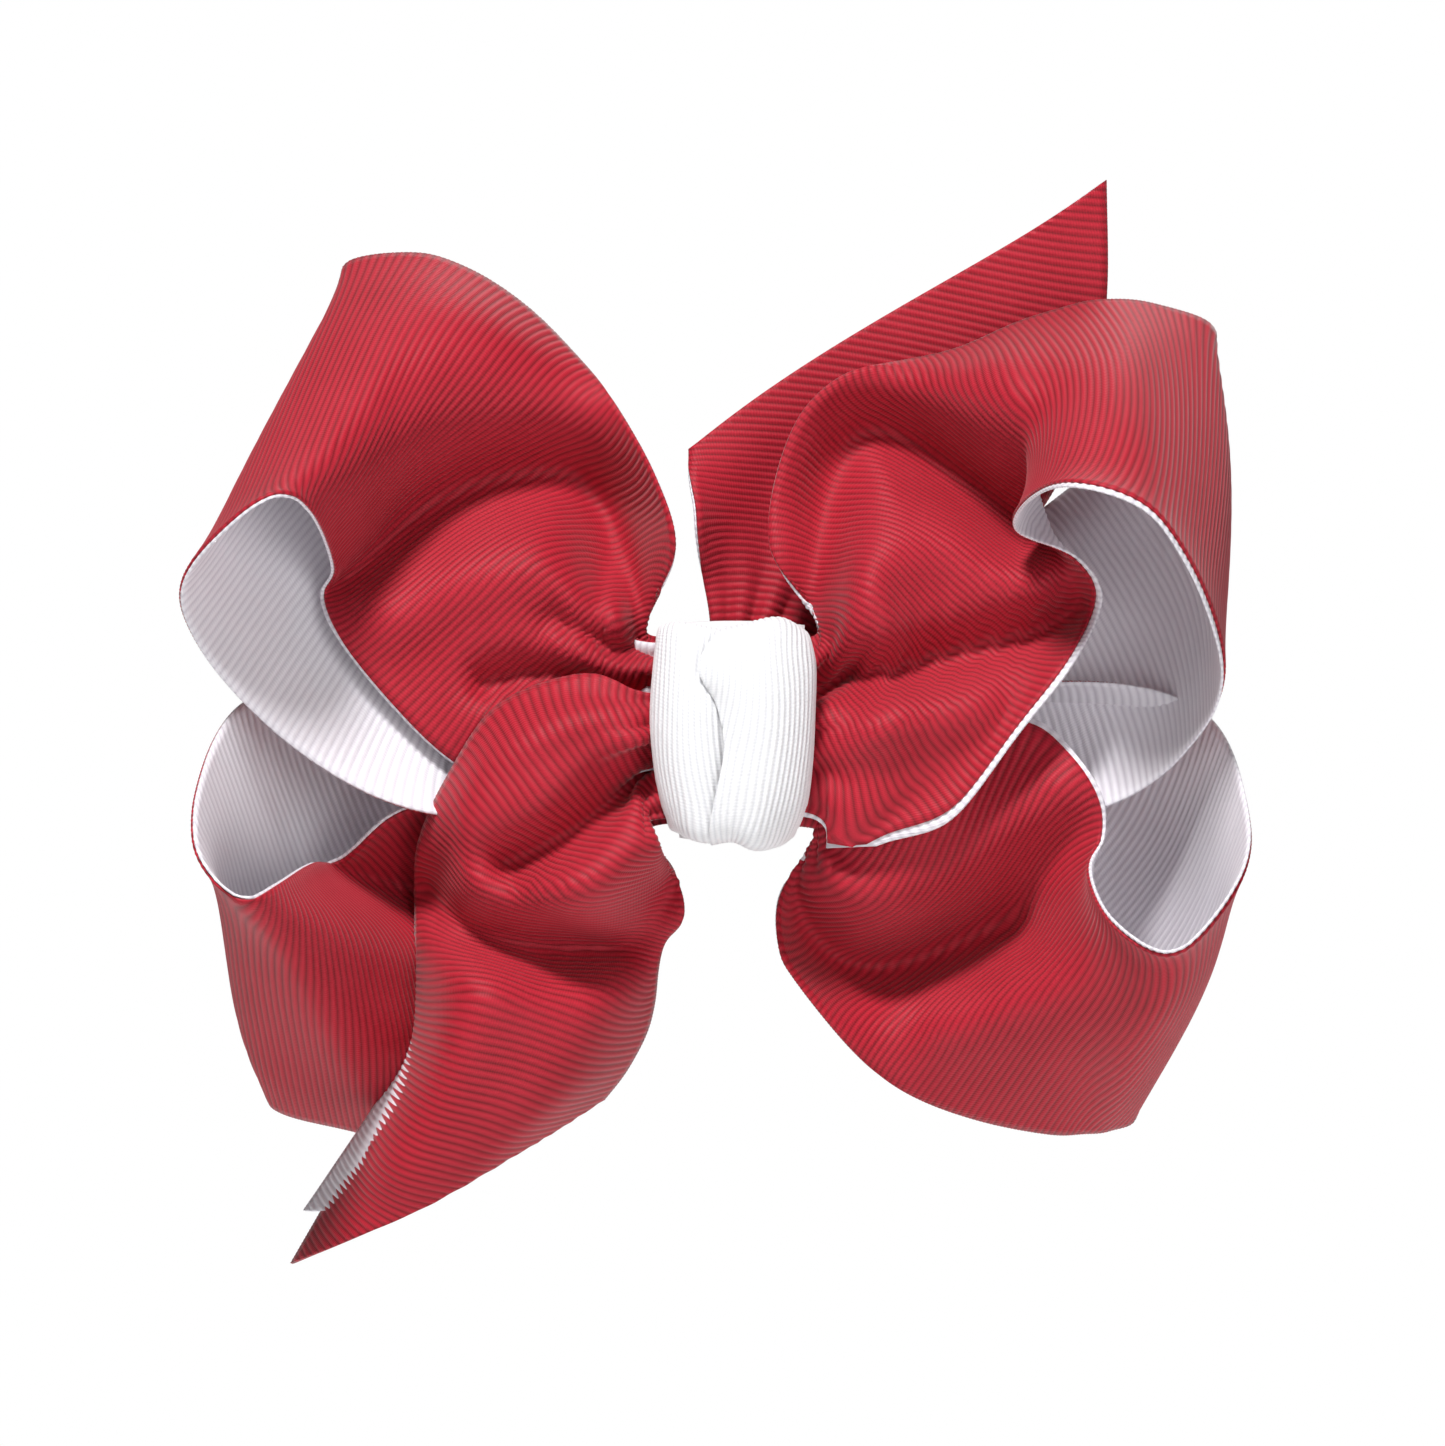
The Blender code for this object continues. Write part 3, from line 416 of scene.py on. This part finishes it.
def folded(name, grid):
    """The broad folds, on the front leg of a loop or the whole of a tail."""
    rows = np.arange(len(grid))
    front = np.ones(len(grid))
    if name in MOUTH_SWELL:
        stations = len(RIBBON_GUIDES[name]["fold_a"]) - 1
        mouth = len(grid) * MOUTH_SWELL[name][1] / stations
        front = np.clip((mouth - rows) / (FOLD_FADE * len(grid)), 0, 1)
    seen = grid[:, :, [0, 2]]
    spread = NEAR_SPREAD + (1 - NEAR_SPREAD) * np.clip(np.linalg.norm(seen, axis=2) / SPREAD_REACH, 0, 1)
    back = np.zeros(grid.shape[:2])
    for depth, reach, line in FOLDS.get(name, ()):
        line = catmull_rom(line, np.linspace(0, len(line) - 1, FOLD_READS * len(line)))
        away = np.linalg.norm(seen[:, :, None] - line, axis=3).min(axis=2)
        back += FOLD_SCALE * depth * np.exp(-((away / (reach * spread)) ** 2))
    grid = grid.copy()
    grid[:, :, 1] = np.minimum(grid[:, :, 1] + back * front[:, None], -HAIR_GAP)
    return grid


def lay_flat(grid):
    """How far along the flat ribbon each grid point lies, in millimetres. Columns are even steps across it.
    A step along a column adds its own length, and a step across adds the part of it that runs along."""
    rows, columns = grid.shape[:2]
    number = np.arange(rows * columns).reshape(rows, columns)
    step = np.linalg.norm(np.diff(grid, axis=0), axis=2)
    tangent = np.gradient(grid, axis=0)
    tangent /= np.linalg.norm(tangent, axis=2, keepdims=True)
    across = np.diff(grid, axis=1)
    slip = (across * (tangent[:, 1:] + tangent[:, :-1]) / 2).sum(axis=2)
    pairs = ((number[:-1], number[1:], step), (number[:, :-1], number[:, 1:], slip))
    size = rows * columns
    matrix, right = np.zeros((size, size)), np.zeros(size)
    for a, b, wanted in pairs:
        a, b, wanted = a.ravel(), b.ravel(), wanted.ravel()
        np.add.at(matrix, (a, a), 1)
        np.add.at(matrix, (b, b), 1)
        np.add.at(matrix, (a, b), -1)
        np.add.at(matrix, (b, a), -1)
        np.add.at(right, b, wanted)
        np.add.at(right, a, -wanted)
    matrix[0, 0] += 1
    return np.linalg.solve(matrix, right).reshape(rows, columns)


def ends_of(array, down, over):
    """The two ends of every link of one kind, as views of a grid array."""
    rows, columns = array.shape[:2]
    if over >= 0:
        return array[: rows - down, : columns - over], array[down:, over:]
    return array[: rows - down, -over:], array[down:, :over]


def holds(grid):
    """The edges keep their outline seen from the front, the inside is free to buckle, the knot is firm."""
    hold = np.empty_like(grid)
    hold[:] = INNER_HOLD
    hold[:, [0, -1]] = EDGE_HOLD
    x_out, z_out = np.abs(grid[:, :, 0]) - KNOT_HALF_X, np.abs(grid[:, :, 2]) - KNOT_HALF_Z
    near = np.clip(1 - np.maximum(x_out, z_out) / KNOT_FADE, 0, 1)[..., None]
    return hold + (KNOT_HOLD - hold) * near


def relax(grid, along, rounds, bend):
    """Moves the points towards the flat ribbon's length and width, stretching no link by much, and evens out
    sharp bends."""
    width = np.linspace(0, RIBBON_WIDTH, grid.shape[1])
    flat = np.stack([along, np.broadcast_to(width, along.shape)], axis=2)
    hold = holds(grid)
    points = grid.copy()
    rests = []
    weight = np.zeros(grid.shape[:2] + (1,))
    for down, over, stiff in LINKS:
        a, b = ends_of(flat, down, over)
        p, q = ends_of(grid, down, over)
        real, drawn = np.linalg.norm(b - a, axis=2), np.linalg.norm(q - p, axis=2)
        rests.append(np.minimum(real, MOST_STRETCH * drawn)[..., None])
        for end in ends_of(weight, down, over):
            end += stiff
    for _ in range(rounds):
        move = np.zeros_like(points)
        for (down, over, stiff), rest in zip(LINKS, rests):
            a, b = ends_of(points, down, over)
            gap = b - a
            length = np.maximum(np.linalg.norm(gap, axis=2, keepdims=True), SHORTEST_LINK)
            pull = stiff * (1 - rest / length) * gap / 2
            a_move, b_move = ends_of(move, down, over)
            a_move += pull
            b_move -= pull
        points += RELAX_GAIN * move / weight
        points[1:-1] += bend * ((points[:-2] + points[2:]) / 2 - points[1:-1])
        points[:, 1:-1] += bend * ((points[:, :-2] + points[:, 2:]) / 2 - points[:, 1:-1])
        points += hold * (grid - points)
    return points


def settle(grid, along):
    """Relaxes the ribbon on a coarse grid, then on the fine one."""
    rows = int(len(grid) * FINE_STEP / COARSE_STEP)
    both = resample(np.concatenate([grid, along[..., None]], axis=2), rows, COARSE_ACROSS)
    coarse = both[..., :3]
    moved = relax(coarse, both[..., 3], COARSE_ROUNDS, COARSE_BEND) - coarse
    grid = grid + resample(moved, len(grid) - 1, grid.shape[1] - 1)
    return relax(grid, along, FINE_ROUNDS, FINE_BEND)


def normals_of(points):
    """The surface's normals, slightly smoothed along the ribbon."""
    normal = np.cross(np.gradient(points, axis=0), np.gradient(points, axis=1))
    normal /= np.maximum(np.linalg.norm(normal, axis=2, keepdims=True), TINY)
    for _ in range(NORMAL_SMOOTHING):
        normal[1:-1] = (normal[:-2] + 2 * normal[1:-1] + normal[2:]) / 4
    return normal / np.maximum(np.linalg.norm(normal, axis=2, keepdims=True), TINY)


def pleated(grid, share, phase, depth):
    """Creases that run out from the knot and fade. share is how far across the ribbon each column is."""
    from_knot = np.hypot(grid[:, :, 0], grid[:, :, 2])
    fade = np.exp(-((np.maximum(from_knot - PLEAT_START, 0) / PLEAT_REACH) ** 2))
    wave = np.sin(2 * math.pi * PLEAT_WAVES * share + phase + PLEAT_DRIFT * np.sin(2 * math.pi * share + phase))
    return grid + (depth * fade * wave * np.sin(math.pi * share) ** 0.5)[..., None] * normals_of(grid)


# ---------------------------------------------------------------- cloth meshes


def fine_columns(grid, along, width, insets, pleats):
    """The surface at even steps across the flat ribbon, much finer along, with how far along each point is."""
    both = np.concatenate([grid, along[..., None]], axis=2)
    both = catmull_rom(both, np.linspace(0, len(grid) - 1, COLUMN_READS * (len(grid) - 1) + 1)).swapaxes(0, 1)
    low, high = insets[0] / width, 1 - insets[1] / width
    share = np.linspace(low, high, round((high - low) * width / COLUMN_WIDTH) + 1)
    both = catmull_rom(both, share * (len(both) - 1)).swapaxes(0, 1)
    surface = both[..., :3]
    if pleats:
        surface = pleated(surface, share, *pleats)
    return surface, both[..., 3], share * width


def ribbed_surface(surface, s, end, pitch):
    """Points on rows that follow the ribs, their normals, their place along the flat ribbon, and the cells on
    the cloth. Past an end of the cloth, points gather on its cut line."""
    step = pitch / STEPS_PER_RIB
    levels = np.arange(math.floor(s[0].min() / step), math.ceil(end.max() / step) + 1) * step
    inside = np.clip(levels[:, None], s[0], end)
    both = np.concatenate([surface, normals_of(surface)], axis=2)
    read = np.empty(inside.shape + (6,))
    index = np.arange(len(s))
    for column in range(inside.shape[1]):
        rising = np.maximum.accumulate(s[:, column]) + TINY * index
        read[:, column] = catmull_rom(both[:, column], np.interp(inside[:, column], rising, index))
    points, normal = read[..., :3], read[..., 3:]
    on = (levels[:, None] > s[0]) & (levels[:, None] < end)
    kept = on[:-1, :-1] | on[1:, 1:] | on[:-1, 1:] | on[1:, :-1]
    return points, normal / np.linalg.norm(normal, axis=2, keepdims=True), inside, kept


def shell_faces(rows, columns, kept):
    """Faces of a closed thin shell over the kept cells of a grid, whose points are numbered front then back."""
    number = np.arange(rows * columns).reshape(rows, columns)
    quads = np.stack([number[:-1, :-1], number[:-1, 1:], number[1:, 1:], number[1:, :-1]], axis=2)[kept]
    back = quads[:, ::-1] + rows * columns
    edges = np.concatenate([quads[:, [k, (k + 1) % 4]] for k in range(4)])
    key = np.sort(edges, axis=1)
    key = key[:, 0].astype(np.int64) * rows * columns + key[:, 1]
    _, first, uses = np.unique(key, return_index=True, return_counts=True)
    rim = edges[first[uses == 1]]
    walls = np.stack([rim[:, 1], rim[:, 0], rim[:, 0] + rows * columns, rim[:, 1] + rows * columns], axis=1)
    return np.concatenate([quads, back, walls])


def cloth_piece(name, points, faces, flat, mat, node):
    """A mesh of the points that a face uses, welded where they gather on a cut, that stands for a CAD node."""
    used = np.unique(faces)
    number = np.full(len(points), -1)
    number[used] = np.arange(len(used))
    mesh = bpy.data.meshes.new(name)
    mesh.from_pydata(points[used] * MM, [], number[faces])
    attribute = mesh.attributes.new("flat", "FLOAT_VECTOR", "POINT")
    attribute.data.foreach_set("vector", np.asarray(flat[used], np.float32).ravel())
    weld = bmesh.new()
    weld.from_mesh(mesh)
    bmesh.ops.remove_doubles(weld, verts=weld.verts, dist=WELD)
    bmesh.ops.dissolve_degenerate(weld, edges=weld.edges, dist=WELD)
    weld.to_mesh(mesh)
    weld.free()
    mesh.materials.append(mat)
    mesh.shade_smooth()
    obj = bpy.data.objects.new(name, mesh)
    bpy.context.scene.collection.objects.link(obj)
    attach(obj, "bow")
    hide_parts(node)
    return obj


def ribbed_sheet(
    name, grid, along, width, facing, shift, mat, node,
    insets=(0, 0), pleats=None, shape=None, pitch=RIB_PITCH,
):
    """A ribbon ribbed on both faces, with flat selvedges, shifted off the middle surface. facing is the side
    of the surface it lies on, 1 or -1."""
    surface, s, w = fine_columns(grid, along, width, insets, pleats)
    end = s[-1]
    if shape:
        surface, end = shape(surface, s, w)
    area = (surface_length(surface) - (s[-1] - end)).mean() * width
    points, normal, s, kept = ribbed_surface(surface, s, end, pitch)
    normal *= facing
    from_edge = np.minimum(w - w[0], w[-1] - w)
    ribbed = np.clip(from_edge / SELVEDGE, 0, 1)
    turn = 2 * math.pi * s / pitch
    swell = RIB_HEIGHT * (ribbed * np.cos(turn) + SELVEDGE_RIBS * (1 - ribbed) * np.cos(2 * turn))
    half = (LAYER_THICK / 2 + swell)[..., None]
    middle = points + shift * normal
    shell = np.concatenate([(middle + half * normal).reshape(-1, 3), (middle - half * normal).reshape(-1, 3)])
    flat = np.stack([np.broadcast_to(w, s.shape), s * RIB_PITCH / pitch, np.zeros_like(s)], axis=2)
    flat = flat.reshape(-1, 3)
    faces = shell_faces(*s.shape, kept)
    if facing < 0:
        faces = faces[:, ::-1]
    obj = cloth_piece(name, shell, faces, np.concatenate([flat, flat]), mat, node)
    length = s.max() - s.min()
    return obj, (width * MM, length * MM), min(area, width * length) * MM * MM


def surface_length(surface):
    return np.linalg.norm(np.diff(surface, axis=0), axis=2).sum(axis=0)


def peel(surface, s, w):
    """The front tail's white layer, cut shorter at its outer edge and curled away from the red one."""
    outer = (1 - w / w[-1]) ** 2
    rising = np.linspace(0, 1, len(s))
    lift = np.clip((rising - PEEL_START) / (1 - PEEL_START), 0, 1) ** 2
    return surface + (lift[:, None] * outer)[..., None] * np.array(PEEL), s[-1] - PEEL_SHORTER * outer


def ribbon(name, phase, materials):
    grid = guide_surface(name)
    along = lay_flat(grid)
    grid = folded(name, settle(grid, along))
    along = lay_flat(grid)
    pleats = (phase, BACK_PLEAT_DEPTH if name == "tail_back" else PLEAT_DEPTH)
    # The first quarter of every ribbon faces the viewer, with its red side.
    quarter = normals_of(grid)[: len(grid) // 4]
    outward = -1 if quarter[..., 1].mean() > 0 else 1
    layers = (("red", outward, (RED_INSET[name], 0)), ("white", -outward, (0, WHITE_INSET)))
    for colour, facing, insets in layers:
        shape = peel if name == "tail_front" and colour == "white" else None
        layer, flat, area = ribbed_sheet(
            f"{name}_cloth_{colour}", grid, along, RIBBON_WIDTH, facing, LAYER_SHIFT, materials[colour],
            f"{name}_{colour}", insets, pleats, shape,
        )
        print(f"{layer.name}: flat {flat[0] / MM:.1f} x {flat[1] / MM:.0f} mm, area {area / MM / MM:.0f} mm2")


def knot_patch(name, rows, node, shift, mat):
    """One part of the knot's front: a ribbon that runs sideways, so that its ribs run up and down."""
    stations = from_front(rows).swapaxes(0, 1)
    grid = even_surface(stations, KNOT_STEP, FINE_ACROSS)
    along = lay_flat(grid)
    width = surface_length(grid.swapaxes(0, 1)).max()
    facing = 1 if normals_of(grid)[..., 1].mean() < 0 else -1
    sheet, flat, area = ribbed_sheet(
        name, grid, along, width, facing, shift, mat, node, pitch=KNOT_PITCH
    )
    print(f"{name}: flat {flat[0] / MM:.1f} x {flat[1] / MM:.0f} mm, area {area / MM / MM:.0f} mm2")


def knot_band(mat):
    """The ribbon round the bundle, a rounded square from the side and slightly crowned, with one end lapped
    over the other behind."""
    middle, half_depth = (BAND_BACK + BAND_FRONT) / 2, (BAND_FRONT - BAND_BACK) / 2
    across = np.linspace(-1, 1, 5)
    stations = []
    for k in range(BAND_STATIONS + 3):
        angle = math.pi + 2 * math.pi * (k - 1) / BAND_STATIONS
        c, s = math.cos(angle), math.sin(angle)
        z = BAND_HALF_Z * math.copysign(abs(s) ** (2 / BAND_SQUARENESS), s)
        depth = half_depth * math.copysign(abs(c) ** (2 / BAND_SQUARENESS), c)
        lap = 1 - BAND_LAP / half_depth * (1 - k / (BAND_STATIONS + 2))
        grown = lap + BAND_CROWN / half_depth * (1 - across**2)
        half_x = BAND_HALF_X + BAND_TAPER * z / BAND_HALF_Z
        stations.append([(half_x * w, z * g, middle + depth * g) for w, g in zip(across, grown)])
    grid = even_surface(from_front(stations), BAND_STEP, BAND_ACROSS)
    along = lay_flat(grid)
    facing = 1 if (normals_of(grid)[0, :, 1].mean() > 0) else -1
    width = 2 * BAND_HALF_X
    sheet, flat, area = ribbed_sheet(
        "knot_band_cloth", grid, along, width, facing, -LAYER_THICK, mat, "knot_band",
        pitch=KNOT_PITCH,
    )
    print(f"knot_band_cloth: flat {flat[0] / MM:.1f} x {flat[1] / MM:.0f} mm")


# ---------------------------------------------------------------- materials

# Ribbon: slow changes of tone and fine fuzz (noise scale per millimetre, detail), how much of the painted shade
# in the grooves comes from the ribs and from the warp threads, how the tone mixes in, and the bump in metres
TONE, FUZZ = (0.09, 4), (3.2, 3)
RIB_SHADE, THREAD_SHADE = 0.8, 0.2
TONE_GAIN, TONE_SHIFT = 0.5, -0.1
FUZZ_ROUGHNESS, FUZZ_BUMP = 0.16, 0.5
CLOTH_BUMP = (0.35, 0.00006)
# Clip, thread and glue: detail of the grain, its reach in roughness, and the bump in metres
GRAIN_DETAIL, GRAIN_ROUGHNESS = 5, 0.2
GRAIN_BUMP = (0.25, 0.00005)


def new_material(name):
    made = bpy.data.materials.new(name)
    made.use_nodes = True
    nodes = made.node_tree.nodes
    return made, nodes, made.node_tree.links, nodes["Principled BSDF"]


def math_node(nodes, links, operation, *values):
    node = nodes.new("ShaderNodeMath")
    node.operation = operation
    for k, value in enumerate(values):
        if isinstance(value, (int, float)):
            node.inputs[k].default_value = value
        else:
            links.new(value, node.inputs[k])
    return node.outputs[0]


def mix_colour(nodes, links, share, low, high):
    node = nodes.new("ShaderNodeMix")
    node.data_type = "RGBA"
    links.new(share, node.inputs["Factor"])
    for key, value in (("A", low), ("B", high)):
        socket = [s for s in node.inputs if s.identifier == f"{key}_Color"][0]
        if isinstance(value, tuple):
            socket.default_value = (*value, 1)
        else:
            links.new(value, socket)
    return [s for s in node.outputs if s.identifier == "Result_Color"][0]


def noise(nodes, links, vector, scale, detail):
    texture = nodes.new("ShaderNodeTexNoise")
    texture.inputs["Scale"].default_value = scale
    texture.inputs["Detail"].default_value = detail
    links.new(vector, texture.inputs["Vector"])
    return texture.outputs["Fac"]


def add_bump(nodes, links, shader, height, strength, distance):
    bump = nodes.new("ShaderNodeBump")
    bump.inputs["Strength"].default_value = strength
    bump.inputs["Distance"].default_value = distance
    links.new(height, bump.inputs["Height"])
    links.new(bump.outputs["Normal"], shader.inputs["Normal"])


def flat_place(nodes, links):
    """Where a point lies on the flat ribbon, in millimetres."""
    flat = nodes.new("ShaderNodeAttribute")
    flat.attribute_name = "flat"
    return flat.outputs["Vector"]


def lining_place(nodes, links):
    """The same for the clip's lining, whose length lies along the X axis."""
    coordinates = nodes.new("ShaderNodeTexCoord")
    turn = nodes.new("ShaderNodeMapping")
    turn.inputs["Rotation"].default_value = (0, 0, math.pi / 2)
    turn.inputs["Scale"].default_value = (1 / MM, 1 / MM, 1 / MM)
    links.new(coordinates.outputs["Object"], turn.inputs["Vector"])
    return turn.outputs["Vector"]


def grosgrain(name, groove_shade, ridge, faded, roughness, sheen, place=flat_place):
    """Ribbed ribbon: painted shade in the grooves between the ribs and between the fine warp threads over each
    rib, and slow changes of tone.
    """
    made, nodes, links, shader = new_material(name)
    flat = place(nodes, links)
    parts = nodes.new("ShaderNodeSeparateXYZ")
    links.new(flat, parts.inputs[0])
    across, along = parts.outputs[0], parts.outputs[1]
    rib = math_node(nodes, links, "COSINE", math_node(nodes, links, "MULTIPLY", along, 2 * math.pi / RIB_PITCH))
    rib = math_node(nodes, links, "MULTIPLY_ADD", rib, 0.5, 0.5)
    offset = math_node(nodes, links, "MULTIPLY", along, math.pi / RIB_PITCH)
    thread = math_node(nodes, links, "MULTIPLY_ADD", across, 2 * math.pi / WARP_PITCH, offset)
    thread = math_node(nodes, links, "SINE", thread)
    thread = math_node(nodes, links, "MULTIPLY_ADD", thread, 0.5, 0.5)
    tone = noise(nodes, links, flat, *TONE)
    fuzz = noise(nodes, links, flat, *FUZZ)
    shade = math_node(nodes, links, "MULTIPLY", math_node(nodes, links, "POWER", rib, 0.5), RIB_SHADE)
    shade = math_node(nodes, links, "MULTIPLY_ADD", thread, THREAD_SHADE, shade)
    # Painted shade: the cloth takes the groove colour in the hollows between the ribs and, less, between the
    # warp threads.
    cloth = mix_colour(nodes, links, shade, groove_shade, ridge)
    fading = math_node(nodes, links, "MULTIPLY_ADD", tone, TONE_GAIN, TONE_SHIFT)
    links.new(mix_colour(nodes, links, fading, cloth, faded), shader.inputs["Base Color"])
    least = roughness - FUZZ_ROUGHNESS / 2
    links.new(math_node(nodes, links, "MULTIPLY_ADD", fuzz, FUZZ_ROUGHNESS, least), shader.inputs["Roughness"])
    height = math_node(nodes, links, "MULTIPLY_ADD", fuzz, FUZZ_BUMP, thread)
    add_bump(nodes, links, shader, height, *CLOTH_BUMP)
    shader.inputs["Sheen Weight"].default_value = sheen
    shader.inputs["Sheen Roughness"].default_value = 0.4
    shader.inputs["Specular IOR Level"].default_value = 0.25
    return made


def grained(name, low, high, roughness, scale, metallic=0.0):
    """A plain material with a slow change of tone and a fine grain, stretched along by scale."""
    made, nodes, links, shader = new_material(name)
    coordinates = nodes.new("ShaderNodeTexCoord")
    stretch = nodes.new("ShaderNodeMapping")
    stretch.inputs["Scale"].default_value = scale
    links.new(coordinates.outputs["Object"], stretch.inputs["Vector"])
    grain = noise(nodes, links, stretch.outputs["Vector"], 1.0, GRAIN_DETAIL)
    links.new(mix_colour(nodes, links, grain, low, high), shader.inputs["Base Color"])
    least = roughness - GRAIN_ROUGHNESS / 2
    links.new(math_node(nodes, links, "MULTIPLY_ADD", grain, GRAIN_ROUGHNESS, least), shader.inputs["Roughness"])
    add_bump(nodes, links, shader, grain, *GRAIN_BUMP)
    shader.inputs["Metallic"].default_value = metallic
    return made


def finish_cad_nodes(lining):
    """The clip and the hidden fixings keep their CAD shape and get their finish."""
    steel = grained("clip_steel", (0.50, 0.50, 0.52), (0.72, 0.72, 0.73), 0.3, (60, 2500, 2500), 1.0)
    thread = grained("thread", (0.70, 0.69, 0.66), (0.86, 0.85, 0.82), 0.7, (2500, 2500, 900))
    glue = grained("hot_glue", (0.76, 0.73, 0.64), (0.86, 0.84, 0.78), 0.35, (250, 250, 250))
    finishes = {"clip_lining": lining, "gather_thread": thread, "glue_pad": glue}
    for node in ("clip_upper_jaw", "clip_lower_jaw", "clip_pin", "clip_spring"):
        finishes[node] = steel
    for node, mat in finishes.items():
        for material_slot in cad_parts[node].material_slots:
            material_slot.material = mat


# ---------------------------------------------------------------- studio

# The camera looks along +Y. VIEW_WIDTH is what the frame takes in at the back tail's depth. A light is its
# place, its diameter and its power in watts.
VIEW_WIDTH = 0.1921
VIEW_CENTRE = (-0.0014, 0.0013)
VIEW_DISTANCE = 3.0
SENSOR = 36.0
FLOOR_DROP, FLOOR_HALF = 0.13, 1.2
WORLD_LIGHT, WORLD_SEEN = 0.125, 1.0
KEY = ((-0.25, -0.85, 1.15), 0.3, 23.5)
FILL = ((0.6, -1.2, 0.1), 0.8, 4.5)
RIM = ((0.2, 0.8, 0.9), 0.6, 4.0)


def camera():
    data = bpy.data.cameras.new("camera")
    data.sensor_width = SENSOR
    data.lens = SENSOR * (VIEW_DISTANCE - BACK_TAIL_DEPTH * MM) / VIEW_WIDTH
    data.clip_end = 20
    obj = bpy.data.objects.new("camera", data)
    obj.location = (VIEW_CENTRE[0], -VIEW_DISTANCE, VIEW_CENTRE[1])
    obj.rotation_euler = (math.pi / 2, 0, 0)
    bpy.context.scene.collection.objects.link(obj)
    bpy.context.scene.camera = obj


def area_light(name, place, size, power):
    data = bpy.data.lights.new(name, "AREA")
    data.shape = "DISK"
    data.size = size
    data.energy = power
    obj = bpy.data.objects.new(name, data)
    obj.location = place
    x, y, z = place
    obj.rotation_euler = (math.pi / 2 - math.atan2(z, math.hypot(x, y)), 0, math.atan2(-y, -x) - math.pi / 2)
    bpy.context.scene.collection.objects.link(obj)


def studio():
    """A pale floor below the bow and a white world, with a broad key light from the upper left."""
    low = CAD_BOX[0].z - FLOOR_DROP
    corners = [(x, y, low) for x, y in ((-1, -1), (1, -1), (1, 1), (-1, 1))]
    mesh = bpy.data.meshes.new("floor")
    mesh.from_pydata([(x * FLOOR_HALF, y * FLOOR_HALF, z) for x, y, z in corners], [], [(0, 1, 2, 3)])
    floor = bpy.data.objects.new("floor", mesh)
    bpy.context.scene.collection.objects.link(floor)
    paper, _, _, shader = new_material("paper")
    shader.inputs["Base Color"].default_value = (0.93, 0.93, 0.93, 1)
    shader.inputs["Roughness"].default_value = 0.9
    mesh.materials.append(paper)
    world = bpy.data.worlds.new("studio")
    world.use_nodes = True
    nodes, links = world.node_tree.nodes, world.node_tree.links
    seen = nodes.new("ShaderNodeLightPath").outputs["Is Camera Ray"]
    strength = math_node(nodes, links, "MULTIPLY_ADD", seen, WORLD_SEEN - WORLD_LIGHT, WORLD_LIGHT)
    nodes["Background"].inputs["Color"].default_value = (1, 1, 1, 1)
    links.new(strength, nodes["Background"].inputs["Strength"])
    bpy.context.scene.world = world
    for name, light in (("key", KEY), ("fill", FILL), ("rim", RIM)):
        area_light(name, *light)
    bpy.context.scene.view_settings.view_transform = "Standard"


def main():
    camera()
    # Painted shade: the first colour of each ribbed material is the dark colour put in its rib grooves.
    cloth = {
        "red": grosgrain(
            "ribbon_red", (0.12, 0.001, 0.004), (0.47, 0.010, 0.027), (0.53, 0.028, 0.052), 0.56, 0.22,
        ),
        # Painted reflected light: the white layer's colours are tinted lavender, for the red layer's light
        # bouncing onto it.
        "white": grosgrain(
            "ribbon_white", (0.60, 0.56, 0.62), (0.88, 0.85, 0.89), (0.80, 0.76, 0.82), 0.7, 0.1,
        ),
    }
    # Painted shade: the first colour here is the dark colour put in the rib grooves.
    knot_finish = ((0.62, 0.62, 0.65), (0.86, 0.86, 0.87), (0.80, 0.80, 0.82), 0.7, 0.05)
    knot = grosgrain("knot_ribbon", *knot_finish)
    knot_band(knot)
    for phase, name in enumerate(RIBBON_GUIDES):
        ribbon(name, phase, cloth)
    knot_patch("knot_wrap_left", KNOT_LEFT, "knot_tie", 0.0, knot)
    knot_patch("knot_wrap_right", KNOT_RIGHT, "knot_tie", KNOT_FOLD, knot)
    finish_cad_nodes(grosgrain("lining_ribbon", *knot_finish, place=lining_place))
    studio()


main()
